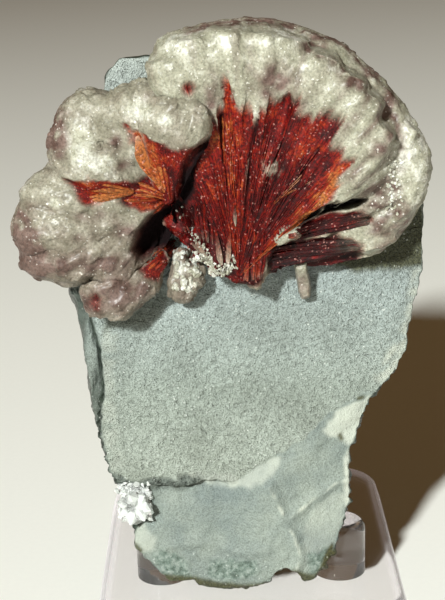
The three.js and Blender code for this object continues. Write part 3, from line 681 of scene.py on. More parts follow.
def lay(height, start, end, lift, bow=0.0, sink=0.0, steps=7):
    """A way from one place to another over a piece's front, a little above it, that may sink at its end."""
    start, end = np.array(start, float), np.array(end, float)
    aside = np.array([-(end - start)[1], (end - start)[0]])
    way = []
    for t in np.linspace(0, 1, steps):
        across, up = start + (end - start) * t + aside * (bow * t * (1 - t))
        way.append([across, up, height(across, up) + lift])
    way = np.array(way)
    for i in range(steps // 2, steps):
        way[i, 2] = min(way[i, 2], way[i - 1, 2] + 0.15)
    way[1:-1, 2] = (way[:-2, 2] + 2 * way[1:-1, 2] + way[2:, 2]) / 4
    way[:, 2] -= sink * np.linspace(0, 1, steps) ** 4
    return way


def dress(piece, root, frost, cleft, stain, blades, tone):
    """Gives a skin and its blades the attributes that the heulandite material reads, and joins them."""
    parts = [(piece, frost, cleft, stain, np.clip(tone, 0, 1))]
    if blades:
        none = np.zeros(sum(map(len, blades.points)))
        parts.append((blades.as_piece("blades"), np.concatenate(blades.frosts), none, none,
            np.concatenate(blades.tones)))
    for part, frost, cleft, stain, tone in parts:
        local = to_face(surface(part)[0])
        angle, reach = polar(local, root)
        store(part, frost=frost, cleft=cleft, stain=stain, tone=tone,
            growth=np.stack([angle * 0.45, reach, local[:, 2]], -1))
    pick(piece)
    bpy.ops.object.shade_smooth()
    return joined(piece, parts[1][0]) if blades else piece


FAN_ROOT = np.array([-1.3, 58.5])
FRONT_REACH = ((34, 30), (42, 33.2), (50, 35.8), (57, 36.4), (64, 37.6), (72, 39.4), (80, 40.4), (90, 41),
    (100, 40.9), (105.6, 40.7), (108.1, 39.5), (110.6, 37.7), (112.6, 35.6), (115, 31))
SECOND_REACH = ((14, 27.5), (18.1, 30.4), (21.1, 32.4), (25.4, 34.7), (28.6, 36), (32.6, 36.7), (39.5, 37.5),
    (46, 38.5), (56, 39.6), (66, 41), (76, 41.4), (86, 41.6), (96, 41), (104, 39.5))
FAN_OUTLINE = ((0, 21), (1.6, 22.2), (6.3, 24), (9.2, 25.6), (11.9, 27.4), (15.3, 29.6), (18.1, 31.4),
    (21.1, 33), (24.9, 35.4), (28.6, 37), (35, 38.4), (44, 40.2), (56, 41), (66, 42), (86, 42.2), (100, 41.2),
    (105.6, 41.2), (108.1, 40), (110.6, 38.2), (112.6, 36.2), (115, 33))
# The red bundles of the front: from and to angle, reach, spread of the reach, tone from dark to orange.
BUNDLES = ((108, 113, 21, 2, 0.22), (103, 108, 22.8, 2, 0.32), (99.5, 103, 24.6, 1.5, 0.36),
    (96, 99.5, 26.4, 1.5, 0.45), (93.6, 96, 28, 1, 0.5), (91.4, 93.6, 32.6, 1, 0.62),
    (90.2, 91.4, 30.6, 1, 0.58), (87.2, 90.2, 28.8, 1.5, 0.48), (84.2, 87.2, 28.2, 1.5, 0.42),
    (82.4, 84.2, 26.6, 1, 0.2), (79.5, 82.4, 28.2, 1.5, 0.25), (75.8, 79.5, 30, 1, 0.3),
    (70.6, 75.8, 31.2, 1, 0.3), (65, 70.6, 29.2, 1.5, 0.28), (61, 65, 30.2, 1.5, 0.34),
    (56.5, 61, 30.9, 1, 0.26), (54.5, 56.5, 26.8, 1, 0.24), (51.5, 54.5, 27.2, 1, 0.34),
    (48.6, 51.5, 26.4, 1, 0.5), (46, 48.6, 27, 1, 0.55), (42.5, 46, 22.6, 1, 0.8), (40, 42.5, 20.6, 1, 0.7))
# Grooves, crevice, tier groove and left cleft: all but the left cleft are sunk, and all are painted dark as
# shade.
GROOVES = (((3, 89.2), (2.2, 85.8), (1.3, 79.5), (0.5, 73.2), (-0.4, 66.8)), ((-6.2, 82), (-8, 77.5),
    (-9.2, 74), (-10.4, 70.5)), ((-3.2, 85), (-3, 77), (-2.4, 70)), ((11.4, 79.5), (7.6, 73.4), (3.6, 67)),
    ((7, 84.6), (4.6, 77), (2.4, 70)))
CREVICE = [(5.6, 65.6), (8.9, 67.9), (12.1, 69.4), (16.2, 70.8), (19.6, 70.8), (18, 69.7), (15, 69.1),
    (12.1, 68.3), (8.9, 67)]
TIER_GROOVE = ((9.6, 96.2), (13.2, 94.2), (16, 91.4), (18.3, 89.3), (21.2, 87.2), (23.7, 84.2), (25, 79.8),
    (24.6, 75.6))
LOW_RED = ([(8.6, 67), (13.7, 68.6), (18.8, 68.8), (20.4, 67.2), (15.3, 65), (9.2, 64.6)], [(3.8, 63.2),
    (9, 64.3), (17.3, 64.4), (19.2, 62.8), (19.4, 56.6), (3.6, 55.4)], [(-3.4, 60), (-0.9, 65.6), (4.4, 66.4),
    (4.6, 63.6), (2.6, 56.6), (-2.6, 55.6)], [(-14.5, 70.5), (-2.5, 68.5), (-2, 58), (-4, 54), (-9.4, 56.4),
    (-13.5, 63.4)])
BEIGE_PATCH = [(3.1, 77.5), (5.2, 77.6), (5.4, 76.0), (4.2, 74.9), (3.2, 75.4)]
LEFT_CLEFT = [(-5.4, 85.4), (-12, 80), (-14, 71), (-12.4, 68.4), (-9.6, 69.3), (-8.2, 72.5), (-8, 76.5),
    (-5.9, 81.6)]
# Mauve and brown places on the frosted ends, partly real stains and partly painted shade between the
# fingers, as across, up, half width, half height and strength.
FAN_STAINS = ((5, 90.2, 3.2, 2.8, 1.3), (10.8, 95.4, 2.2, 1.2, 1), (17.6, 90, 2.4, 1.3, 0.9),
    (22.7, 84.9, 1.6, 2.6, 1), (21.4, 79.6, 1.8, 1.5, 0.9), (20, 73.2, 1.6, 2.6, 0.7),
    (-4.9, 88.4, 1.1, 3, 1.1), (-8.4, 86.2, 2, 2, 0.4), (16.4, 75.6, 1.2, 1.4, 0.8), (13.4, 84.6, 1, 2, 0.5),
    (9.4, 86.4, 1.6, 1.6, 0.5), (1, 94, 0.8, 4, 0.4), (24.2, 68.4, 2.4, 0.9, 0.5))
# Painted highlights: frosted places painted brighter, with thicker painted glints, in the same form.
FAN_GLOW = ((-9.5, 96.2, 2.4, 1.5, 1), (-2.3, 96.2, 0.9, 1.1, 1), (23.6, 76.2, 1.7, 3.4, 1),
    (27.4, 79, 2.2, 6, 1), (22.6, 69.6, 1.8, 2.6, 1), (6, 96.6, 3, 1.4, 1))


def on_fan(angle, reach, out=None):
    """A place on the fan from its angle in degrees and distance from the root."""
    a = math.radians(angle)
    place = (FAN_ROOT[0] + reach * math.cos(a), FAN_ROOT[1] + reach * math.sin(a))
    return place if out is None else (*place, out)


fan = CrystalHeap()
# Each tier ends in a swollen white band, given as a section in reach and height that follows its rim.
# The right part of the front band is parted into rounded fingers.
FINGERS = ((36.5, 2.2), (41, 2.4), (46.5, 3), (52.5, 3.2), (58, 2.8), (64, 3.4), (72, 4.5), (80, 4.5),
    (89, 5), (98, 5), (107, 5))
for rim, first, last, section in (
        (FRONT_REACH, 35, 114, ((-13.5, 9.0), (-12.2, 13.6), (-8.0, 16.9), (-3.6, 16.6), (-1.0, 14.4),
            (0.3, 11.6), (-1.0, 8.6), (-7, 7))),
        (SECOND_REACH, 15, 105, ((-7.5, 5.8), (-6.0, 9.0), (-3.4, 10.8), (-1.2, 9.9), (0.2, 7.4), (-0.6, 4.8),
            (-3, 3.6), (-6.5, 3.6)))):
    rings = []
    for angle in np.arange(first, last + 0.1, 1.5):
        end = smooth_step(angle, first - 1, first + 5) * (1 - smooth_step(angle, last - 6, last + 1))
        swelling = 0.0
        if rim is FRONT_REACH:
            nearest = min(FINGERS, key=lambda finger: abs(angle - finger[0]) / finger[1])
            swelling = 1 - min(1.0, abs(angle - nearest[0]) / nearest[1]) ** 2
            swelling = (swelling - 1) * np.interp(angle, (36, 60, 75, 110), (2.0, 1.3, 0.4, 0.25))
        reach = np.interp(angle, *zip(*rim)) + 0.35 * swelling
        if rim is SECOND_REACH:
            swelling = 2.2 * smooth_step(angle, 20, 32) * (1 - smooth_step(angle, 62, 78))
        middle = sum(out for _, out in section) / len(section)
        rings.append(np.array([on_fan(angle, reach + (step if step > -9 else step * (0.9 + 0.1 * end)),
                   middle + (out - middle) * (0.35 + 0.65 * end) + (swelling if out > middle else 0))
            for step, out in section]))
    fan.ring_solid(rings)
for angle, reach, out, radii in (
        # The short fingers beside the crevice
        (46, 22.6, 12.0, (3.0, 2.0, 3.0)), (38, 26.0, 11.0, (4.0, 2.2, 3.8)),
        # The white ends of the low tiers
        (27, 28.4, 6.6, (4.4, 2.6, 3.6)), (20.5, 26.6, 6.2, (4.4, 2.2, 3.4)),
        (14.5, 24.6, 4.6, (4.2, 1.9, 2.8)),
        (9.0, 21.6, 3.4, (3.4, 1.5, 2.0)),
        # The dark root beside the left rosette
        (141, 12, 3.2, (4.0, 2.6, 2.8)), (128, 15.5, 5.0, (4.4, 2.2, 2.6)),
        (119, 20.5, 7.4, (4.4, 2.0, 2.6))):
    a = math.radians(angle)
    fan.lump(on_fan(angle, reach, out), radii, (math.cos(a), math.sin(a)))
FAN_VOXEL = 0.00038
SMOOTHING_ROUNDS = 11
sheaf = fan.fused("heulandite_fan", "heulandite_main_fan", FAN_VOXEL, SMOOTHING_ROUNDS)

points, normals = surface(sheaf)
local = to_face(points)
angle, reach = polar(local, FAN_ROOT)
# The outline is drawn in to the real one where the solid's blades stick out.
limit = np.where((angle > 0) & (angle < 115), np.interp(angle, *zip(*FAN_OUTLINE)), 99)
local[:, :2] = (FAN_ROOT + (local[:, :2] - FAN_ROOT)
    * (np.minimum(reach, limit) / np.maximum(reach, 1))[:, None])
floor = np.interp(local[:, 0], (3.6, 5.6, 14, 20, 25), (50, 59.3, 59.3, 60.6, 62))
local[:, 1] = np.where(local[:, 0] > 3.6, np.maximum(local[:, 1], floor - 0.3 + 0.3 * rough(local, 1.6, 42)),
    local[:, 1])
points = from_face(local)
across, up, out = local.T
reach = np.minimum(reach, limit)
facing = smooth_step(normals @ face_out, 0.1, 0.5)
along = np.stack([angle * 0.45, reach * 0.1, out * 0.35], -1)
red_limit, tone = np.full(len(angle), 20.0), np.where((angle < 40) & (across > 3.6), 0.04, 0.25)
for low, high, end, spread, shade in BUNDLES:
    red_limit = np.where((angle >= low) & (angle < high), end, red_limit)
    tone = np.where((angle >= low) & (angle < high), shade, tone)
upper = (up > np.interp(across, (0, 5.6, 12.1, 16.2, 30), (57, 66.4, 69.2, 70.6, 75))) & (angle < 114)
ragged = 1.4 * rough(along, 1.0, 31) + 0.8 * rough(along, 0.4, 32)
red = np.where(upper, 1 - smooth_step(reach - red_limit - ragged, -1.8, 0.8), 0)
red = np.maximum(red, areas(local, LOW_RED, 1.2, 0.5 * rough(local, 1.4, 33)) * (1 - upper))
red = np.maximum(red, patch(local,
    [(-14.5, 70), (-12.5, 76), (-9.4, 80.5), (-6.2, 81), (-2, 70), (-3.5, 65.4), (-9.4, 67.4),
        (-13, 66)], 1.6))
red = np.maximum(red, np.exp(-(np.hypot(across + 8.3, up - 89.6) / 1.1) ** 4) * facing)
red *= 1 - 0.65 * patch(local, BEIGE_PATCH, 1.4, 0.5 * rough(local, 0.8, 30))
frost = np.clip(1 - red, 0, 1)
groove = near_lines(local[:, :2], GROOVES, 0.35, 2) * facing
crevice = patch(local, CREVICE, 0.8) * facing
tier_groove = near_lines(local[:, :2] + 0.5 * ragged[:, None], [TIER_GROOVE], 0.8, 2) * facing
ribs = 0.22 * rough(along, 1.1, 34) + 0.2 * rough(along, 0.5, 35)
grown = np.stack([angle * 0.7, reach * 0.55, out * 0.7], -1)
soft = (0.25 * rough(local, 4.0, 36) + 0.22 * tilted_faces(grown, 2.2, 37)
    + 0.09 * tilted_faces(grown, 1.0, 43) + 0.08 * rough(local, 0.8, 38)
    + 0.12 * rough(along, 1.4, 29))
# The front band is one even swell at the top, and its fingers part only at the right.
points = relaxed(sheaf, points, 0.6 * frost * facing * smooth_step(angle, 56, 66)
    * smooth_step(reach - red_limit, -1, 1), 60, face_out)
points -= face_out * ((0.8 * groove * (1 - 0.95 * frost) + 3.0 * crevice + 0.6 * tier_groove) * MM)[:, None]
points += normals * ((frost * soft - (1 - frost) * (0.7 + ribs)) * MM)[:, None]
write_points(sheaf, points)
# Painted shade: the grooves, the crevice and the left cleft are painted dark, where shade falls in them.
cleft = np.clip(0.9 * groove * (1 - 0.9 * frost) + 1.3 * crevice
    + patch(local, LEFT_CLEFT, 1.0) * facing, 0, 1)
edge_in = np.interp(angle, *zip(*SECOND_REACH)) - reach
rim = ((1 - smooth_step(edge_in + 0.6 * rough(along, 2.2, 28), 0.3, 1.7)) * smooth_step(angle, 40, 58)
    * (1 - smooth_step(angle, 96, 103)))
streaks = smooth_step(rough(np.stack([angle * 0.06, edge_in * 1.4, out * 1.4], -1), 1.0, 27), -0.2, 0.3)
blots = spots(local, FAN_STAINS)
# Painted shade: mauve grey between the fingers at the right, where shade falls between them.
finger_gap = np.min([np.abs(angle - at) / wide for at, wide in FINGERS], axis=0) ** 2
finger_gap = (np.clip(finger_gap, 0, 1) * (1 - smooth_step(angle, 60, 72))
    * smooth_step(reach - red_limit, 1, 4) * facing)
finger_gap *= 1 - smooth_step(reach - np.interp(angle, *zip(*FRONT_REACH)), -1, 0.5)
tone *= 0.85 + 0.2 * smooth_step(reach / red_limit, 0.3, 0.9)
# Painted highlights raise the tone of the frosted white where the lamp catches it.
glow = spots(local, FAN_GLOW)
tone = ((1 - frost) * (tone + 0.35 * rough(local, 3.0, 41))
    + frost * (0.4 + 0.25 * rough(local, 3.0, 41) + glow))
# Partly real stains and the brown rim, partly painted shade between the fingers and along the tier groove.
stain = np.clip((blots * facing * (1 - 0.7 * np.clip(glow, 0, 1)) + 0.75 * finger_gap
    + 1.5 * rim * (0.5 + 0.5 * streaks) + 0.7 * tier_groove) * (0.75 + 0.9 * rough(local, 1.5, 39))
    + 0.3 * smooth_step(rough(along, 1.2, 40), 0.1, 0.6), 0, 1)

height = front_of(sheaf)
spray = CrystalHeap()
for low, high, end, spread, shade in BUNDLES:
    span = (high - low) * end * math.pi / 180
    for wide, many, lift in ((1.0, 1.3, -0.05), (0.6, 2.0, 0.08), (0.36, 2.4, 0.16)):
        for _ in range(max(1, round(span * many / wide))):
            turn = rng.uniform(low - 0.4, high + 0.4)
            stop = end + rng.uniform(-spread, 1.6)
            start = rng.uniform(1.0, 0.45 * stop)
            if wide < 0.7:
                start, stop = rng.uniform(0.05, 0.7) * stop, stop - rng.uniform(0, 0.3) * stop
            spray.blade(lay(height, on_fan(turn + rng.uniform(-2.0, 2.0), start), on_fan(turn, stop),
                    lift + rng.uniform(-0.12, 0.14), rng.uniform(-0.04, 0.04), 0.7),
                wide * rng.uniform(0.7, 1.25), rng.uniform(0.7, 1.0) * wide, rng.uniform(-0.5, 0.5),
                float(np.clip(shade + rng.uniform(-0.14, 0.14), 0, 1)), 0.1, 0.95, 0.15)
for start, end, number, width, shade, frost_from, frost_end in (
        # The low tiers and the tongue under the root
        ((8.6, 65.6), (20.2, 67.4), 20, 0.6, 0.06, 0.9, 0.2),
        ((4.6, 62.0), (18.4, 62.9), 22, 0.6, -0.1, 0.9, 0.25),
        ((0.6, 65.8), (0.4, 57.8), 14, 0.8, 0.45, 0.95, 0.2),
        ((2.6, 65.6), (1.8, 58.2), 10, 0.8, 0.35, 0.95, 0.2),
        ((-9.4, 70), (-8.8, 65.0), 9, 0.7, 0.2, 0.9, 0.4),
        ((-6.8, 70.5), (-6.4, 64.2), 9, 0.7, 0.3, 0.9, 0.4),
        # Pale glassy chisels round the root, and pale needles over the red
        ((-4.6, 66.4), (-3.9, 59.8), 2, 1.3, 0.5, 0.1, 0.75),
        ((-2.6, 65.6), (-3.0, 60.0), 2, 0.9, 0.5, 0.1, 0.7),
        ((-9.6, 66.6), (-6.0, 61.4), 4, 0.7, 0.4, 0.1, 0.8),
        ((7.0, 65.4), (9.8, 65.4), 3, 1.0, 0.5, 0.1, 0.85),
        ((-1.8, 70.6), (-1.6, 67.4), 2, 0.8, 0.5, 0.1, 0.7),
        ((5.0, 71.0), (14.6, 80.7), 2, 0.2, 0.9, 0.1, 0.55),
        ((6.0, 71.6), (16.2, 77.6), 2, 0.2, 0.9, 0.1, 0.5),
        ((-0.4, 71.0), (1.4, 84.0), 3, 0.25, 0.4, 0.1, 0.45)):
    for _ in range(number):
        jog = np.array([rng.uniform(-0.4, 0.4),
            rng.uniform(-1.3, 1.3) if number > 5 else rng.uniform(-0.3, 0.3)])
        if abs(end[0] - start[0]) < 4:
            jog = jog[::-1]
        spray.blade(lay(height, np.array(start) + jog, np.array(end) + jog * 0.8, rng.uniform(0.0, 0.4),
            rng.uniform(-0.04, 0.04)),
            width * rng.uniform(0.7, 1.2), width * rng.uniform(0.6, 1.0), rng.uniform(-0.5, 0.5),
            float(np.clip(shade + rng.uniform(-0.15, 0.15), 0, 1)), 0.2, frost_from, frost_end)
spray.crystals(height, ((-10.5, 69.6), (-9.8, 67.5), (-8.2, 65.4), (-7.0, 63.7), (-5.9, 61.6)), 60, 0.6, 0.32)
spray.crystals(height, ((-7.0, 62.4), (-5.9, 60.6), (-4.3, 59.3), (-2.6, 59.9), (-2.2, 61.6)), 130, 0.7, 0.36)
spray.crystals(height, ((-8.8, 62.6), (-6.6, 59.6), (-3.6, 57.8)), 90, 0.9, 0.4)
spray.crystals(height, ((-7.6, 61.6), (-5.2, 59.4), (-3.2, 59.4), (-2.4, 60.6)), 16, 0.5, 0.7)
# Sparkling crystals at the right end of the middle tier
spray.crystals(height, ((24.2, 77.2), (23.4, 75.2), (23.8, 71.4), (24.6, 69.4), (21.9, 68.6)), 60, 0.8, 0.42)
sheaf = dress(sheaf, FAN_ROOT, frost, cleft, stain, spray, tone)

heulandite, tree, shader = new_material(
    "heulandite, red blades with frosted white ends", IOR=1.50, Subsurface_Weight=0.12,
    Subsurface_Radius=(0.0014, 0.0010, 0.0008), Subsurface_Scale=1.0, Specular_IOR_Level=0.18,
    Coat_Roughness=0.3)
place = add_node(tree, "TexCoord", {}, "Object")
mask = {name: add_node(tree, "Attribute", {"attribute_name": name}, "Fac")
    for name in ("frost", "cleft", "stain", "tone")}
growth = add_node(tree, "Attribute", {"attribute_name": "growth"}, "Vector")
# Fibres run along the blades: about 0.3 mm across them, and long along them.
stretch = add_node(tree, "VectorMath", {"operation": "MULTIPLY", 1: (1.0, 0.12, 0.5), 0: growth})
fibre = add_node(tree, "TexNoise", {"Scale": 3.4, "Detail": 5.0, "Roughness": 0.75, "Vector": stretch})
mottle = add_node(tree, "TexNoise", {"Scale": 420.0, "Detail": 6.0, "Roughness": 0.7, "Vector": place})
# Sugary grains about 0.3 mm across lie on the white ends, and broken fibres as small on the red.
sugar = add_node(tree, "TexNoise", {"Scale": 2600.0, "Detail": 2.0, "Vector": place})
facets = add_node(tree, "TexVoronoi", {"Scale": 4200.0, "Vector": place}, "Color")
facet = add_node(tree, "SeparateColor", {"Color": facets})
# The white is lighter where the tone is higher, which holds random variation and the painted highlights.
white_level = add_node(tree, "Math", {"operation": "MULTIPLY_ADD", 1: 0.22, 2: -0.09, 0: mask["tone"]})
white_level = add_node(tree, "Math", {"operation": "ADD", 0: white_level, 1: mottle})
level = mask["tone"]
for source, share in ((fibre, 1.3), (mottle, 1.1)):
    level = add_node(tree, "Math", {"operation": "MULTIPLY_ADD", 1: share, 0: source, 2: level})
level = add_node(tree, "MapRange", {"From Min": 1.04, "From Max": 2.02, "Value": level})
tint = {name: add_node(tree, "ValToRGB", {"stops": stops, "Fac": source})
    for name, source, stops in (
        ("red", level, ((0.0, "#120001"), (0.3, "#3c0202"), (0.55, "#6e0805"), (0.78, "#902c0c"),
            (1.0, "#a4602f"))),
        ("white", white_level, ((0.3, "#807e6c"), (0.46, "#918f7d"), (0.58, "#a4a291"), (0.8, "#d8d7ce"))),
        # Mauve brown, for the real stains and for painted shade between the fingers and along the tier
        # groove.
        ("stain", mottle, ((0.34, "#453028"), (0.66, "#76625a"))),
        ("sugar shade", sugar, ((0.34, "#a8a6a0"), (0.56, "#ffffff"))),
        ("red grain", sugar, ((0.34, "#4a3a3a"), (0.62, "#ffffff"))),
        ("red glint", facet, ((0.95, "#000000"), (1.0, "#ffffff"))),
        ("white glint", facet, ((0.972, "#000000"), (1.0, "#ffffff"))))}
for makes, blend, amount, over in (
        ("white", "MIX", mask["stain"], "stain"), ("white", "MULTIPLY", 0.55, "sugar shade"),
        ("red", "MULTIPLY", 0.7, "red grain")):
    tint[makes] = add_node(tree, "Mix",
        {"data_type": "RGBA", "blend_type": blend, 0: amount, 6: tint[makes], 7: tint[over]})
# Painted glints: light specks mixed into the colour, thick where the white is painted bright, and fine on the
# red.
for name, bright, amount in (("red", "#c98f84", 0.55), ("white", "#f0ede4", 1.1)):
    share = add_node(tree, "Math", {"operation": "MULTIPLY", 1: amount, 0: tint[name + " glint"]})
    if name == "white":
        share = add_node(tree, "Math", {"operation": "MULTIPLY", "use_clamp": True, 0: share,
            1: mask["tone"]})
    tint[name] = add_node(tree, "Mix", {"data_type": "RGBA", 7: linear(bright), 0: share, 6: tint[name]})
body = add_node(tree, "Mix", {"data_type": "RGBA", 0: mask["frost"], 6: tint["red"], 7: tint["white"]})
# Painted shade: clefts, crevices and hollows are painted near black.
body = add_node(tree, "Mix", {"data_type": "RGBA", 7: linear("#0b0102"), 0: mask["cleft"], 6: body})
tree.links.new(body, shader.inputs["Base Color"])
striae = add_node(tree, "Bump", {"Strength": 0.6, "Distance": 0.0002, "Height": fibre})
crust = add_node(tree, "Bump", {"Strength": 0.5, "Distance": 0.0002, "Height": sugar, "Normal": striae})
glint = add_node(tree, "Bump", {"Strength": 0.4, "Distance": 0.0001, "Height": facet, "Normal": crust})
tree.links.new(glint, shader.inputs["Normal"])
shine = add_node(tree, "MapRange", {"To Min": 0.5, "To Max": 1.0, "Value": mask["cleft"]})
tree.links.new(shine, shader.inputs["Roughness"])
wet = add_node(tree, "MapRange", {"From Min": 0.5, "To Min": 0.0, "To Max": 0.25, "Value": mask["frost"]})
tree.links.new(wet, shader.inputs["Coat Weight"])
finish_piece(sheaf, "heulandite_fan", heulandite, "heulandite_main_fan")


# The left rosette and the small sheaves
# Rounder, stubbier groups of the same crystal beside the fan, mostly white, with red only in the
# clefts near their roots.

SHEAF_VOXEL = 0.00036
# The hollow under the rosette and the gap beside the fan are sunk, and painted near black as shade.
HOLLOW = [(-18.4, 63.2), (-17.2, 66.4), (-15.4, 68.6), (-13.2, 69.9), (-9, 71), (-9, 66.8), (-10.6, 63.4),
    (-13.6, 62.6), (-17, 61.4)]
GAP = [(-11.4, 70.2), (-10.4, 73), (-9.4, 77.4), (-7.0, 80.8), (-4.4, 82.6), (-4.0, 76), (-7.0, 69.8)]
ROSETTE_RED = ([(-18.6, 84.2), (-16.6, 83.2), (-13.4, 81.2), (-12.6, 72.4), (-15.1, 76)], [(-28.6, 75.6),
    (-24.6, 75.2), (-20, 74.7), (-15.1, 75.6), (-12.6, 73.4), (-13.2, 69.4), (-15.3, 69.4), (-18.5, 70.4),
    (-21, 72), (-22.5, 71.5), (-25.3, 70.9)], [(-13.6, 80.8), (-9.3, 80.2), (-6.4, 80.2), (-7, 69),
    (-13.4, 68.6), (-14, 76.6)])
LOWER_RED = [(-18.4, 61.4), (-15.7, 64.0), (-11.4, 64.6), (-10.8, 60.7), (-13.2, 57.0), (-16.8, 58.4)]
RED_SPOT = [(-25.6, 55.6), (-24.6, 56.4), (-23.7, 55.2), (-24.6, 54.0), (-25.5, 54.4)]
ROSETTE_STAINS = ((-35.8, 65, 2.2, 4.6, 2.4), (-34.6, 60.6, 1.6, 1.8, 1), (-30.2, 83, 1.9, 4, 2.2),
    (-24.4, 69.6, 3.6, 0.8, 0.5), (-19.6, 66.6, 2.6, 1.6, 0.7), (-26.5, 66, 2.6, 0.9, 0.4),
    (-20, 81.2, 1.2, 1.3, 1), (-31.4, 70.8, 2.2, 1, 0.35), (-30.6, 61.2, 3.4, 1.3, 0.9),
    (-22.6, 61.6, 3.4, 1.2, 0.8), (-19.8, 77.6, 2.2, 1, 0.5), (-14.4, 88.4, 1.8, 1.2, 0.35),
    (-21.2, 56, 4, 2.2, 0.8), (-25.8, 54.6, 1.4, 1.6, 0.8), (-17, 56.6, 1.6, 1, 0.5),
    (-12.6, 83, 2.2, 1.2, 0.3))
# Painted highlights: places painted brighter, where glassy faces catch the lamp and sparkle, in the same
# form.
ROSETTE_GLOW = ((-25.6, 81.4, 1.8, 3.2, 1), (-22.6, 78, 2.4, 1.4, 1), (-30.4, 71.6, 1.2, 1, 1),
    (-16.2, 86.4, 2, 1.6, 1), (-12, 85, 1.4, 1, 1), (-11, 59.4, 1.2, 1, 1))
